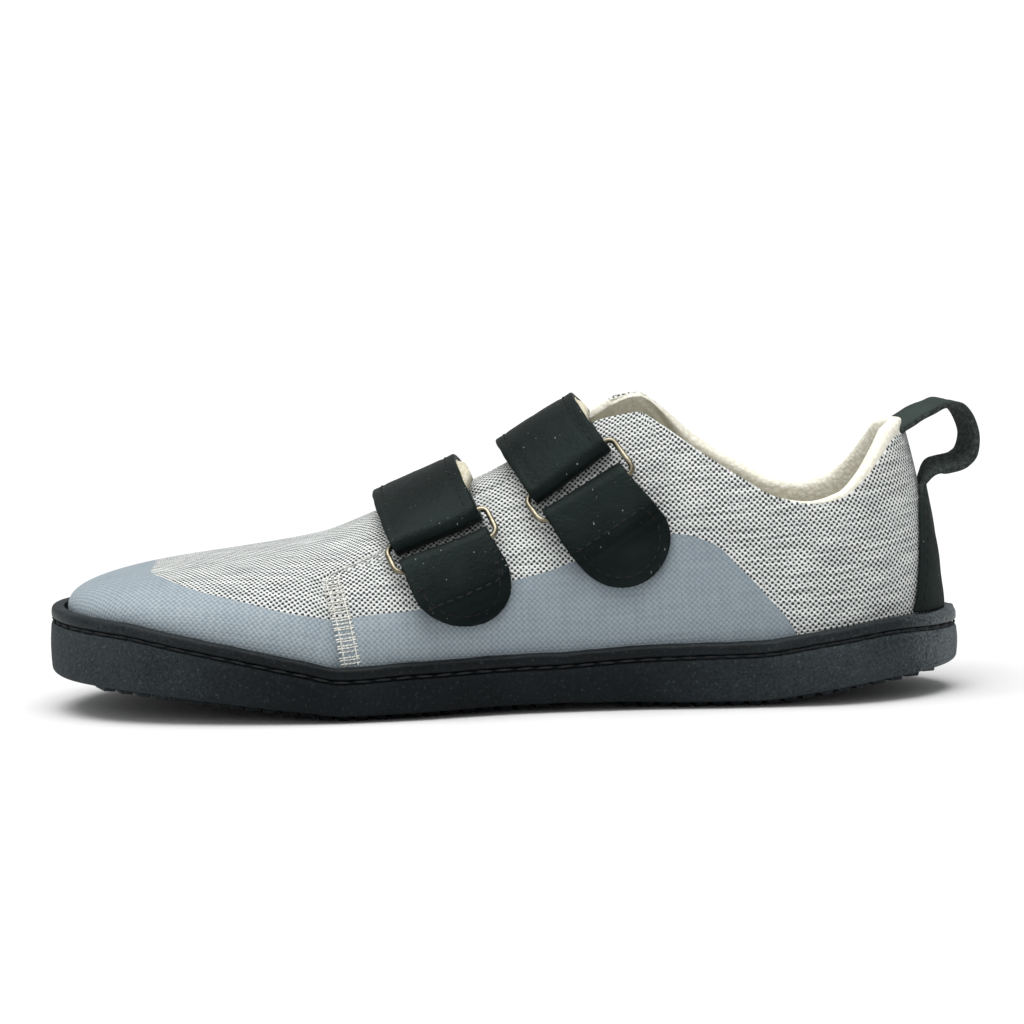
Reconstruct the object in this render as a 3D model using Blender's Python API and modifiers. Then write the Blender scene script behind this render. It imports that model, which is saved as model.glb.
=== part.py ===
# Barefoot shoe for the right foot, with two ring-and-return straps.
# The shoe is modelled with its toe tip at x = 0 and its heel towards +X, inner side towards -Y,
# standing on z = 0. An empty then carries every piece to the middle of the shoe's own box.
import math

import bmesh
import bpy
import numpy as np
from mathutils import Vector
from mathutils.bvhtree import BVHTree

mm = 0.001

# Driving sizes of the last and of the sole
length = 205 * mm
ball_width = 86 * mm
heel_width = 60 * mm
instep_height = 66 * mm
ankle_width = 36 * mm
toe_lean = 5 * mm
toe_spring = 7 * mm
heel_spring = 5 * mm
arch_lift = 0.6 * mm
rim_height = 1.3 * mm
sole_floor = 3.0 * mm
sole_side = 10.0 * mm
cup_wall = 2.9 * mm
bottom_edge = 1.6 * mm
groove_height = 1.1 * mm
groove_depth = 1.0 * mm
welt_height = 2.6 * mm
welt_chamfer = 0.7 * mm
lug_pitch = 4.0 * mm
lug_width = 3.0 * mm
lug_border = 4.5 * mm
lug_bow = 5.0 * mm
lug_root = 0.8 * mm
lug_taper = 0.25
insole_thickness = 3.0 * mm
insole_chamfer = 0.4 * mm

# Sizes of the upper and of what is sewn to it
upper_wall = 1.7 * mm
collar_wall = 3.6 * mm
collar_band = 9.0 * mm
tongue_thickness = 2.4 * mm
tongue_half_width = 19 * mm
tongue_drop = 3.5 * mm
tongue_slack = 0.6 * mm
clearance = 0.3 * mm
leather = 1.5 * mm
strap_width = 20.4 * mm
tab_width = 21.8 * mm
tab_hidden = 9 * mm
pad_gap = 1.2 * mm
pad_lean = 1.4 * mm
ring_wire = 1.5 * mm
ring_side = 1.6 * mm
ring_corner = 1.9 * mm
ring_opening = 7.0 * mm
loop_width = 10 * mm
loop_turn = math.radians(20)
stay_base_width = 30 * mm

# How finely the faceted solids are drawn
ribs_a_side = 36
wall_levels = 9
lug_parts = 3
wire_rounding = 2

# Outline of the sole. Columns: share of the length, share of the ball width, share of the heel width.
toe_tip = (0.000, -0.115, 0.000)
heel_tip = (1.000, 0.000, 0.000)
inner_outline = [
    (0.022, 0.290, 0.000),
    (0.070, 0.405, 0.000),
    (0.150, 0.475, 0.000),
    (0.290, 0.500, 0.000),
    (0.390, 0.468, 0.000),
    (0.510, 0.350, 0.050),
    (0.640, 0.175, 0.245),
    (0.760, 0.000, 0.490),
    (0.880, 0.000, 0.452),
    (0.962, 0.000, 0.280),
]
outer_outline = [
    (0.020, 0.105, 0.000),
    (0.068, 0.275, 0.000),
    (0.150, 0.405, 0.000),
    (0.250, 0.478, 0.000),
    (0.360, 0.500, 0.000),
    (0.500, 0.390, 0.070),
    (0.640, 0.190, 0.310),
    (0.760, 0.000, 0.530),
    (0.880, 0.000, 0.475),
    (0.962, 0.000, 0.290),
]

# Side of the sole. Columns: share of the length, then shares of the toe spring, of the heel spring
# and of the arch lift under the rim, and the side's height up to the groove as a share of its size.
sole_stations = [
    (0.000, 1.00, 0.00, 0.0, 1.16),
    (0.080, 0.86, 0.00, 0.0, 1.14),
    (0.150, 0.64, 0.00, 0.0, 1.02),
    (0.220, 0.38, 0.00, 0.0, 0.90),
    (0.280, 0.16, 0.00, 0.0, 0.78),
    (0.325, 0.00, 0.00, 0.0, 0.71),
    (0.400, 0.00, 0.00, 0.2, 0.76),
    (0.540, 0.00, 0.00, 1.0, 0.76),
    (0.640, 0.00, 0.00, 0.6, 0.88),
    (0.700, 0.00, 0.00, 0.0, 0.95),
    (0.770, 0.00, 0.00, 0.0, 0.97),
    (0.850, 0.00, 0.38, 0.0, 0.99),
    (0.920, 0.00, 0.76, 0.0, 0.98),
    (1.000, 0.00, 1.00, 0.0, 0.80),
]

# Ribs of the last, from the toe tip to the heel tip. Columns: share of the way round the side,
# tuck of the foot within the welt as a share of the ball width, top's x as a share of the length,
# top's y as a share of the ankle width, top's z as a share of the instep height, height of the side
# lever, bulge of the side, crown lever, slope of the ridge, and drop of the crown lever as a share
# of the rib's height.
rib_stations = [
    (0.00, 0.008, 0.170, 0.00, 0.506, 0.58, 0.000, 0.67, 0.14, 0.00),
    (0.12, 0.006, 0.185, 0.00, 0.513, 0.60, 0.004, 0.66, 0.15, 0.00),
    (0.24, 0.002, 0.235, 0.00, 0.533, 0.62, 0.010, 0.65, 0.17, 0.00),
    (0.34, 0.000, 0.295, 0.00, 0.567, 0.60, 0.014, 0.63, 0.26, 0.00),
    (0.44, 0.000, 0.375, 0.00, 0.660, 0.56, 0.016, 0.60, 0.36, 0.00),
    (0.54, 0.000, 0.460, 0.00, 0.755, 0.54, 0.014, 0.58, 0.42, 0.00),
    (0.63, 0.000, 0.545, 0.00, 0.890, 0.53, 0.012, 0.60, 0.56, 0.00),
    (0.70, 0.000, 0.615, 0.00, 1.010, 0.52, 0.014, 0.62, 0.55, 0.00),
    (0.76, 0.000, 0.668, 0.10, 1.200, 0.44, 0.018, 0.50, 0.30, 0.14),
    (0.82, 0.000, 0.710, 0.34, 1.400, 0.36, 0.022, 0.34, 0.00, 0.30),
    (0.88, 0.003, 0.775, 0.50, 1.450, 0.34, 0.020, 0.32, 0.00, 0.33),
    (0.94, 0.010, 0.848, 0.38, 1.450, 0.34, 0.002, 0.45, 0.00, 0.33),
    (1.00, 0.015, 0.884, 0.00, 1.450, 0.34, -0.020, 0.55, 0.00, 0.33),
]

# Edge of the quarters along the throat, then of the collar, as the side view shows it. Columns:
# share of the length, height on the inner side and on the outer side as shares of the instep height.
throat_edge = [
    (0.380, 0.668, 0.668),
    (0.398, 0.652, 0.652),
    (0.430, 0.672, 0.672),
    (0.475, 0.715, 0.715),
    (0.505, 0.757, 0.757),
    (0.550, 0.856, 0.862),
    (0.600, 0.945, 0.968),
    (0.630, 0.972, 1.006),
    (0.650, 0.982, 1.004),
]
collar_edge = [
    (0.650, 0.982, 1.004),
    (0.672, 0.947, 0.960),
    (0.715, 0.859, 0.862),
    (0.758, 0.773, 0.773),
    (0.800, 0.703, 0.703),
    (0.831, 0.689, 0.689),
    (0.866, 0.715, 0.715),
    (0.890, 0.779, 0.779),
    (0.911, 0.865, 0.865),
    (0.926, 0.925, 0.925),
    (0.942, 0.940, 0.940),
    (1.000, 0.940, 0.940),
]

# Tread bars. Columns: start and end of a zone as shares of the length.
lug_zones = [
    (0.045, 0.520),
    (0.610, 0.965),
]

# Straps. Columns: name, share of the length where the strap crosses the ridge, slope of its band,
# share by which the toe edge's way down is the longer one, then, as shares of the ball width, the
# reach from the ridge to the ring, to the rounded end of the ring's tab, and to the strap's own end
# and its root on the outer side.
straps = [
    ("front", 0.412, math.radians(28), 0.17, 0.2791, 0.5512, 0.3953, 0.5233),
    ("rear", 0.549, math.radians(37), 0.14, 0.2186, 0.5721, 0.4419, 0.5930),
]

# Pull loop, along its middle, from the collar's top round to the heel's back. Columns: distance
# behind the heel's back as a share of the loop's reach, height as a share of the instep height,
# and how far the band twists, its inner edge going down.
loop_reach = 11.5 * mm
loop_route = [
    (-0.34, 0.957, 0.00),
    (-0.02, 0.981, 0.00),
    (0.30, 0.995, 0.00),
    (0.65, 0.976, 0.00),
    (0.90, 0.927, 0.00),
    (1.00, 0.868, 0.06),
    (0.96, 0.813, 0.22),
    (0.77, 0.777, 0.40),
    (0.45, 0.757, 0.45),
    (0.21, 0.730, 0.28),
    (0.10, 0.680, 0.00),
]


def smooth(rows, at):
    """Every column after the first of a table, read smoothly at a value of the first column."""
    keys = [row[0] for row in rows]
    at = min(max(at, keys[0]), keys[-1])
    i = min(max(np.searchsorted(keys, at) - 1, 0), len(rows) - 2)
    values = [np.array(row[1:], float) for row in rows]

    def slope(k):
        if k == 0 or k == len(rows) - 1:
            return np.zeros_like(values[k]) if len(rows) < 3 else end_slope(k)
        before = (values[k] - values[k - 1]) / (keys[k] - keys[k - 1])
        after = (values[k + 1] - values[k]) / (keys[k + 1] - keys[k])
        same_way = before * after > 0
        total = np.where(same_way, before + after, 1)
        return np.where(same_way, 2 * before * after / total, 0)

    def end_slope(k):
        j = k + 1 if k == 0 else k
        return (values[j] - values[j - 1]) / (keys[j] - keys[j - 1])

    span = keys[i + 1] - keys[i]
    t = (at - keys[i]) / span
    a, b = values[i], values[i + 1]
    from_a, from_b = slope(i) * span, slope(i + 1) * span
    return (
        (2 * t**3 - 3 * t**2 + 1) * a
        + (t**3 - 2 * t**2 + t) * from_a
        + (3 * t**2 - 2 * t**3) * b
        + (t**3 - t**2) * from_b
    )


def eased(value):
    """A share from 0 to 1 with soft ends."""
    share = min(max(value, 0.0), 1.0)
    return 3 * share**2 - 2 * share**3


def closed_curve(points, per_span=24):
    """A smooth closed curve through the points, drawn finely."""
    points = np.array(points, float)
    count = len(points)
    drawn = []
    for i in range(count):
        p0, p1, p2, p3 = (points[(i + k) % count] for k in (-1, 0, 1, 2))
        d0, d1, d2 = (math.sqrt(np.linalg.norm(b - a)) for a, b in ((p0, p1), (p1, p2), (p2, p3)))
        m1 = (p1 - p0) / d0 - (p2 - p0) / (d0 + d1) + (p2 - p1) / d1
        m2 = (p2 - p1) / d1 - (p3 - p1) / (d1 + d2) + (p3 - p2) / d2
        for k in range(per_span):
            t = k / per_span
            drawn.append(
                (2 * t**3 - 3 * t**2 + 1) * p1
                + (t**3 - 2 * t**2 + t) * m1 * d1
                + (3 * t**2 - 2 * t**3) * p2
                + (t**3 - t**2) * m2 * d1
            )
    return np.array(drawn)


def along(points, shares):
    """Points at the given shares of an open line's length."""
    steps = np.r_[0, np.cumsum(np.linalg.norm(np.diff(points, axis=0), axis=1))]
    at = np.array(shares) * steps[-1]
    return np.stack([np.interp(at, steps, points[:, k]) for k in range(points.shape[1])], axis=1)


def outline_points():
    """The sole's outline in plan: toe tip, inner side, heel tip, outer side, the same ribs on both."""

    def place(row, side):
        return (row[0] * length, side * (row[1] * ball_width + row[2] * heel_width))

    inner = [place(row, -1) for row in inner_outline]
    outer = [place(row, 1) for row in outer_outline]
    corners = [place(toe_tip, 1), *inner, place(heel_tip, 1), *reversed(outer)]
    per_span = 24
    curve = closed_curve(corners, per_span)
    heel = (len(inner) + 1) * per_span
    shares = np.linspace(0, 1, ribs_a_side + 1)
    inner_side = along(curve[: heel + 1], shares)
    outer_side = along(np.vstack([curve[heel:], curve[:1]])[::-1], shares)
    return np.vstack([inner_side, outer_side[-2:0:-1]])


def outward(loop):
    """Unit normals in plan of a closed loop of points that runs anticlockwise seen from below."""
    run = np.roll(loop, -1, axis=0) - np.roll(loop, 1, axis=0)
    normal = np.stack([-run[:, 1], run[:, 0]], axis=1)
    normal /= np.linalg.norm(normal, axis=1)[:, None]
    middle = loop.mean(axis=0)
    return normal if ((loop - middle) * normal).sum() > 0 else -normal


outline = outline_points()
outline_normal = outward(outline)
rib_count = len(outline)


def inset(distance):
    """The outline moved inwards, by one distance or by one for each rib."""
    return outline - outline_normal * np.reshape(distance, (-1, 1))


def foot_inset(index):
    """How far the upper's foot stands in from the outline at a rib."""
    run = min(index, rib_count - index) / ribs_a_side
    return cup_wall + clearance + smooth(rib_stations, run)[0] * ball_width


def rim_z(x):
    """Height of the sole's lower rim over the ground."""
    toe, heel, arch, _ = smooth(sole_stations, x / length)
    return rim_height + toe * toe_spring + heel * heel_spring + arch * arch_lift


def groove_z(x):
    return rim_z(x) + smooth(sole_stations, x / length)[3] * sole_side


def welt_z(x):
    return groove_z(x) + groove_height + welt_height


def cup_z(x):
    """Height of the floor that the insole lies on."""
    return rim_z(x) + sole_floor


def ring_at(distance, height):
    """A ring of 3D points: the outline moved inwards, at a height that is a function of x."""
    return np.array([(x, y, height(x)) for x, y in inset(distance)])


def rib_curve(index, v):
    """A point of the last's surface on a rib, at v = 0 on the welt and at v = 1 on the ridge."""
    side = -1 if index <= ribs_a_side else 1
    run = min(index, rib_count - index) / ribs_a_side
    tuck, top_x, top_y, top_z, lever, bulge, crown, slope, drop = smooth(rib_stations, run)
    plan = outline[index] - outline_normal[index] * (cup_wall + clearance + tuck * ball_width)
    base = np.array([plan[0], plan[1], welt_z(plan[0]) - clearance])
    lean = -toe_lean * max(0.0, 1 - 2 * run)
    top = np.array([top_x * length, lean + side * top_y * ankle_width, top_z * instep_height])
    reach = top - base
    out = np.array([*outline_normal[index], 0.0])
    low = base + out * bulge * ball_width + np.array([0, 0, lever * reach[2]])
    high = top - crown * np.array([reach[0], reach[1], slope * reach[0]])
    high[2] -= drop * reach[2]
    u = 1 - v
    return u**3 * base + 3 * u * u * v * low + 3 * u * v * v * high + v**3 * top


def edge_z(x, outer_side):
    """Height of the quarters' edge, in side view. Nothing is cut in front of the throat."""
    share = x / length
    if share < throat_edge[0][0]:
        return 10 * instep_height
    rows = throat_edge if share < throat_edge[-1][0] else collar_edge
    return smooth(rows, share)[1 if outer_side else 0] * instep_height


def cut_v(index):
    """How far up a rib the surface goes before it reaches the quarters' edge."""
    steps = 200
    for k in range(steps + 1):
        x, y, z = rib_curve(index, k / steps)
        if z >= edge_z(x, y > 0):
            return k / steps
    return 1.0


def add_object(name, vertices, faces, colour, roughness, metallic=0.0, smooth_angle=40):
    """A named mesh object with its own Principled material, in the shoe's collection."""
    mesh = bpy.data.meshes.new(name)
    mesh.from_pydata([tuple(map(float, v)) for v in vertices], [], faces)
    mesh.validate()
    work = bmesh.new()
    work.from_mesh(mesh)
    bmesh.ops.remove_doubles(work, verts=work.verts, dist=0.00001)
    bmesh.ops.recalc_face_normals(work, faces=work.faces)
    work.to_mesh(mesh)
    work.free()
    mesh.shade_smooth()
    mesh.set_sharp_from_angle(angle=math.radians(smooth_angle))
    material = bpy.data.materials.new(name)
    material.use_nodes = True
    shader = material.node_tree.nodes["Principled BSDF"]
    shader.inputs["Base Color"].default_value = (*colour, 1)
    shader.inputs["Roughness"].default_value = roughness
    shader.inputs["Metallic"].default_value = metallic
    mesh.materials.append(material)
    obj = bpy.data.objects.new(name, mesh)
    shoe.objects.link(obj)
    obj.parent = carrier
    return obj


def walls_between(rings, closed_rings=True):
    """Quads between rings of equal length, given as rows of vertex numbers."""
    faces = []
    for low, high in zip(rings, rings[1:]):
        last = len(low) if closed_rings else len(low) - 1
        for k in range(last):
            n = (k + 1) % len(low)
            faces.append((low[k], low[n], high[n], high[k]))
    return faces


def ladder(ring):
    """Faces across a closed ring whose two sides have the same ribs."""
    half = len(ring) // 2
    inner = [ring[k] for k in range(half + 1)]
    outer = [ring[-k % len(ring)] for k in range(half + 1)]
    faces = [(inner[0], inner[1], outer[1])]
    for k in range(1, half - 1):
        faces.append((inner[k], inner[k + 1], outer[k + 1], outer[k]))
    faces.append((inner[half - 1], inner[half], outer[half - 1]))
    return faces


def stacked_rings(rings, cap_first=True, cap_last=True):
    """Vertices and faces of a solid or a hoop made of closed rings."""
    count = len(rings[0])
    vertices = np.vstack(rings)
    numbers = [list(range(k * count, (k + 1) * count)) for k in range(len(rings))]
    if not (cap_first or cap_last):
        return vertices, walls_between([*numbers, numbers[0]])
    faces = walls_between(numbers)
    if cap_first:
        faces += ladder(numbers[0])
    if cap_last:
        faces += ladder(numbers[-1])
    return vertices, faces


def make_lugs():
    """Bowed cross bars under the forefoot and the heel, in one mesh that the outsole is joined with."""
    inner, outer = inset(lug_border)[: ribs_a_side + 1], inset(lug_border)[ribs_a_side:][::-1]
    outer = np.vstack([inset(lug_border)[:1], outer])
    vertices, faces = [], []
    for start, end in lug_zones:
        for k in range(int((end - start) * length / lug_pitch) + 1):
            x0 = start * length + k * lug_pitch
            low = np.interp(x0 + lug_bow, inner[:, 0], inner[:, 1])
            high = np.interp(x0 + lug_bow, outer[:, 0], outer[:, 1])
            if high - low < 3 * lug_width:
                continue
            first = len(vertices)
            for j in range(lug_parts + 1):
                y = low + (high - low) * j / lug_parts
                bow = lug_bow * (2 * j / lug_parts - 1) ** 2
                for corner in (-0.5, 0.5):
                    taper = 1 - lug_taper * abs(corner)
                    x = x0 + bow + corner * lug_width
                    foot = x0 + bow + corner * lug_width * taper
                    vertices.append((x, y, rim_z(x) + lug_root))
                    vertices.append((foot, y, rim_z(foot) - rim_height))
            for j in range(lug_parts):
                a, b = first + 4 * j, first + 4 * j + 4
                for p, q in ((0, 1), (1, 3), (3, 2), (2, 0)):
                    faces.append((a + p, a + q, b + q, b + p))
            faces.append((first, first + 1, first + 3, first + 2))
            last = first + 4 * lug_parts
            faces.append((last, last + 2, last + 3, last + 1))
    obj = add_object("lug_bars", vertices, faces, (0.02, 0.022, 0.025), 0.8)
    shoe.objects.unlink(obj)
    helpers.objects.link(obj)
    obj.hide_render = True
    obj.display_type = "WIRE"
    return obj


def make_outsole():
    """The cup sole: bottom, side wall with the lower half of the stitch groove, and the cup inside."""
    def seat_z(x):
        return groove_z(x) + groove_height - clearance

    rings = [
        ring_at(bottom_edge, rim_z),
        ring_at(0.3 * bottom_edge, lambda x: rim_z(x) + 0.3 * bottom_edge),
        ring_at(0, lambda x: rim_z(x) + bottom_edge),
        ring_at(0, groove_z),
        ring_at(groove_depth, groove_z),
        ring_at(groove_depth, seat_z),
        ring_at(cup_wall, seat_z),
        ring_at(cup_wall, cup_z),
    ]
    vertices, faces = stacked_rings(rings)
    outsole = add_object("outsole", vertices, faces, (0.020, 0.023, 0.026), 0.75)
    join = outsole.modifiers.new("lugs", "BOOLEAN")
    join.operation = "UNION"
    join.solver = "EXACT"
    join.use_self = True
    join.object = make_lugs()
    return outsole


def make_welt():
    """The smooth strip over the stitch groove, all round the upper's foot."""
    def low_z(x):
        return groove_z(x) + groove_height

    rings = [
        ring_at(cup_wall, low_z),
        ring_at(0.1 * mm, low_z),
        ring_at(0.1 * mm, lambda x: welt_z(x) - welt_chamfer),
        ring_at(welt_chamfer, welt_z),
        ring_at(cup_wall, welt_z),
    ]
    vertices, faces = stacked_rings(rings, cap_first=False, cap_last=False)
    return add_object("welt", vertices, faces, (0.028, 0.030, 0.034), 0.45)


def make_insole():
    """The footbed, lying in the cup within the upper's foot."""
    edge = np.array([foot_inset(i) + upper_wall + 2 * clearance for i in range(rib_count)])
    rings = [
        ring_at(edge, lambda x: cup_z(x) + clearance),
        ring_at(edge, lambda x: cup_z(x) + insole_thickness - insole_chamfer),
        ring_at(edge + insole_chamfer, lambda x: cup_z(x) + insole_thickness),
    ]
    vertices, faces = stacked_rings(rings)
    return add_object("insole", vertices, faces, (0.62, 0.58, 0.50), 0.9)


def last_surface():
    """The whole last as one tree to cast rays at, with no throat and no collar cut."""
    levels = 24
    grid = [[rib_curve(i, k / levels) for k in range(levels + 1)] for i in range(rib_count)]
    vertices = [Vector(p) for rib in grid for p in rib]
    row = levels + 1
    faces = []
    for i in range(rib_count):
        n = (i + 1) % rib_count
        for k in range(levels):
            faces.append((i * row + k, n * row + k, n * row + k + 1, i * row + k + 1))
    return BVHTree.FromPolygons(vertices, faces)


def make_upper():
    """Vamp and quarters as one hollow wall, open at the throat and the collar, and underneath."""
    levels = wall_levels
    sunk = 2
    vertices, weights, numbers = [], [], []
    for i in range(rib_count):
        base = rib_curve(i, 0)
        floor = cup_z(base[0]) + clearance
        column = [base - np.array([0, 0, (base[2] - floor) * (1 - k / sunk)]) for k in range(sunk)]
        top = cut_v(i)
        rib = [rib_curve(i, top * k / levels) for k in range(levels + 1)]
        column += rib
        numbers.append(list(range(len(vertices), len(vertices) + len(column))))
        vertices += column
        to_edge = [np.linalg.norm(p - rib[-1]) for p in column]
        padded = eased((rib[-1][0] - collar_edge[0][0] * length) / collar_band) if top < 1 else 0.0
        weights += [padded * max(0.0, 1 - d / collar_band) for d in to_edge]
    faces = []
    for i in range(rib_count):
        here, after = numbers[i], numbers[(i + 1) % rib_count]
        for k in range(len(here) - 1):
            faces.append((here[k], after[k], after[k + 1], here[k + 1]))
    mesh = bpy.data.meshes.new("upper")
    work = bmesh.new()
    layer = work.verts.layers.deform.verify()
    made = [work.verts.new(v) for v in vertices]
    for vertex, weight in zip(made, weights):
        vertex[layer][0] = weight
    for face in faces:
        work.faces.new([made[n] for n in face])
    bmesh.ops.remove_doubles(work, verts=work.verts, dist=0.0002)
    bmesh.ops.recalc_face_normals(work, faces=work.faces)
    if sum(f.normal.x * (f.calc_center_median().x - length / 2) for f in work.faces) < 0:
        bmesh.ops.reverse_faces(work, faces=work.faces)
    work.to_mesh(mesh)
    work.free()
    upper = add_object("upper", [v.co for v in mesh.vertices],
                       [tuple(p.vertices) for p in mesh.polygons], (0.52, 0.54, 0.55), 0.85)
    group = upper.vertex_groups.new(name="padding")
    deform = {v.index: (v.groups[0].weight if v.groups else 0.0) for v in mesh.vertices}
    where = {tuple(round(c, 7) for c in v.co): deform[v.index] for v in mesh.vertices}
    for vertex in upper.data.vertices:
        group.add([vertex.index], where.get(tuple(round(c, 7) for c in vertex.co), 0.0), "REPLACE")
    wall = upper.modifiers.new("wall", "SOLIDIFY")
    wall.thickness = collar_wall
    wall.vertex_group = "padding"
    wall.thickness_vertex_group = upper_wall / collar_wall
    wall.offset = -1
    wall.use_even_offset = True
    return upper


def surface_normal(index, v):
    """Outward normal of the last at a point of a rib."""
    step = 0.004
    after, before = (index + 1) % rib_count, (index - 1) % rib_count
    round_way = rib_curve(after, v) - rib_curve(before, v)
    up_way = rib_curve(index, min(v + step, 1)) - rib_curve(index, max(v - step, 0))
    normal = np.cross(round_way, up_way)
    normal /= max(np.linalg.norm(normal), 1e-12)
    point = rib_curve(index, v)
    away = point - np.array([point[0], 0, 0.4 * instep_height])
    return normal if normal @ away > 0 else -normal


def make_tongue():
    """The tongue, under the quarters' edges and standing a little over them at the top."""
    first = int(0.40 * ribs_a_side)
    top_limit = throat_edge[-1][1] * instep_height - tongue_drop
    rows = []
    across = 5
    heights = np.linspace(0, 1, 41)
    for i in range(first, ribs_a_side):
        run = i / ribs_a_side
        if run > 0.80:
            break
        ridge_v = 1.0
        if rib_curve(i, 1.0)[2] > top_limit:
            ridge_v = next((v for v in heights if rib_curve(i, v)[2] > top_limit), 1.0)
        if abs(rib_curve(i, ridge_v)[1]) > tongue_half_width:
            break
        row = []
        behind_throat = (rib_curve(i, 1.0)[0] / length - throat_edge[1][0]) / 0.1
        depth = upper_wall + clearance + tongue_slack * (2.4 - 1.4 * eased(behind_throat))
        for index, side in ((i, -1), (rib_count - i, 1)):
            low_v = next((v for v in heights if abs(rib_curve(index, v)[1]) < tongue_half_width), 0.5)
            vs = np.linspace(low_v, ridge_v, across)
            half = [rib_curve(index, v) - surface_normal(index, v) * depth for v in vs]
            row += half if side < 0 else half[::-1][(1 if ridge_v == 1.0 else 0):]
        if ridge_v < 1.0:
            row = row[:across] + row[across + 1:]
        rows.append(row)
        if ridge_v < 1.0:
            break
    width = len(rows[0])
    vertices = [p for row in rows for p in row]
    faces = []
    for r in range(len(rows) - 1):
        for c in range(width - 1):
            a = r * width + c
            faces.append((a, a + 1, a + width + 1, a + width))
    tongue = add_object("tongue", vertices, faces, (0.60, 0.60, 0.58), 0.9)
    if tongue.data.polygons[len(faces) // 2].normal.z < 0:
        tongue.data.flip_normals()
    wall = tongue.modifiers.new("padding", "SOLIDIFY")
    wall.thickness = tongue_thickness
    wall.offset = -1
    return tongue


class BandFrame:
    """Places points on a band round the instep: distance along it, distance across it, height over it."""

    def __init__(self, ridge_share, slope, spread, reach):
        start = Vector((ridge_share * length, 0, 2 * instep_height))
        ridge = last_tree.ray_cast(start, Vector((0, 0, -1)))[0]
        self.across = Vector((math.cos(slope), 0, math.sin(slope)))
        self.up = Vector((-math.sin(slope), 0, math.cos(slope)))
        self.middle = ridge - self.up * 0.42 * instep_height
        self.spread = spread
        self.spread_end = reach - leather - ring_wire
        self.angles = np.radians(np.linspace(-130, 130, 131))
        self.lines = {}

    def hit(self, angle, sideways):
        way = Vector((0, 1, 0)) * math.sin(angle) + self.up * math.cos(angle)
        start = self.middle + self.across * sideways
        found = last_tree.ray_cast(start, way)[0]
        return (found if found else start + way * 0.3 * instep_height), way

    def runs(self, sideways):
        """Distances from the ridge at each of the angles, along one line of the band."""
        key = round(sideways / (0.1 * mm))
        if key not in self.lines:
            line = np.array([self.hit(a, sideways)[0] for a in self.angles])
            steps = np.r_[0, np.cumsum(np.linalg.norm(np.diff(line, axis=0), axis=1))]
            self.lines[key] = steps - np.interp(0.0, self.angles, steps)
        return self.lines[key]

    def place(self, run, sideways, height):
        """A point; run is measured from the ridge, negative on the inner side."""
        lag = self.spread * min(abs(run), self.spread_end) * sideways / (strap_width / 2)
        angle = float(np.interp(run - math.copysign(lag, run * sideways), self.runs(sideways), self.angles))
        step = math.radians(3)
        point, way = self.hit(angle, sideways)
        before, after = self.hit(angle - step, sideways)[0], self.hit(angle + step, sideways)[0]
        normal = self.across.cross(after - before).normalized()
        if normal.dot(way) < 0:
            normal = -normal
        return point + normal * height


def strip(name, loops, columns, colour, roughness):
    """A flat strip through sections that each run across its top and back across its underside."""
    count = 2 * columns
    numbers = [list(range(k * count, (k + 1) * count)) for k in range(len(loops))]
    faces = walls_between(numbers)
    for ring in (numbers[0], numbers[-1]):
        for c in range(columns - 1):
            faces.append((ring[c], ring[c + 1], ring[count - 2 - c], ring[count - 1 - c]))
    return add_object(name, [point for loop in loops for point in loop], faces, colour, roughness)


def folded_band(name, frame, stations, thickness, colour, columns=5):
    """A band along stations of (run, height, half width, turn of its normal, lean to the heel edge)."""
    spread = np.linspace(-1, 1, columns)
    loops = []
    for run, height, half, turn, lean in stations:
        step = math.sin(turn) * thickness / 2
        rise = math.cos(turn) * thickness / 2
        tilts = [lean * (1 + s * half / (strap_width / 2)) / 2 for s in spread]
        top = [frame.place(run + step, s * half, height + rise + t) for s, t in zip(spread, tilts)]
        under = [frame.place(run - step, s * half, height - rise + t) for s, t in zip(spread, tilts)]
        loops.append([*top, *reversed(under)])
    return strip(name, loops, columns, colour, 0.8)


def rounded_half(distance, half):
    """Half width of a band at a distance from its round end."""
    if distance >= half:
        return half
    return math.sqrt(max(half * half - (half - distance) ** 2, (0.12 * half) ** 2))


under_layer = clearance + leather / 2
turn_height = leather + ring_wire + 2 * clearance
pad_settle = 8 * mm


def even_runs(start, end):
    """Distances from one to the other, in steps of about 4 mm."""
    return np.linspace(start, end, int(abs(end - start) / (4 * mm)) + 2)


def strap_stations(reach, tip, root):
    """Root on the outer side, under layer to the ring, turn round its bar, upper layer to the tip."""
    half = strap_width / 2
    stations = [(run, under_layer, half, 0.0, 0.0) for run in even_runs(root, -reach)]
    radius = turn_height / 2
    for angle in np.linspace(0, math.pi, 7)[1:-1]:
        run = -reach - radius * math.sin(angle)
        stations.append((run, under_layer + radius * (1 - math.cos(angle)), half, angle, 0.0))
    over_pads = under_layer + leather + pad_gap
    for run in np.r_[even_runs(-reach, -reach + pad_settle)[:-1],
                     even_runs(-reach + pad_settle, tip - half)[:-1],
                     tip - half * (1 - np.sin(np.linspace(0, math.pi / 2, 6)))]:
        settled = eased((run + reach) / pad_settle)
        height = under_layer + turn_height + (over_pads - under_layer - turn_height) * settled
        stations.append((run, height, rounded_half(tip - run, half), math.pi, pad_lean * settled))
    return stations


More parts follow.
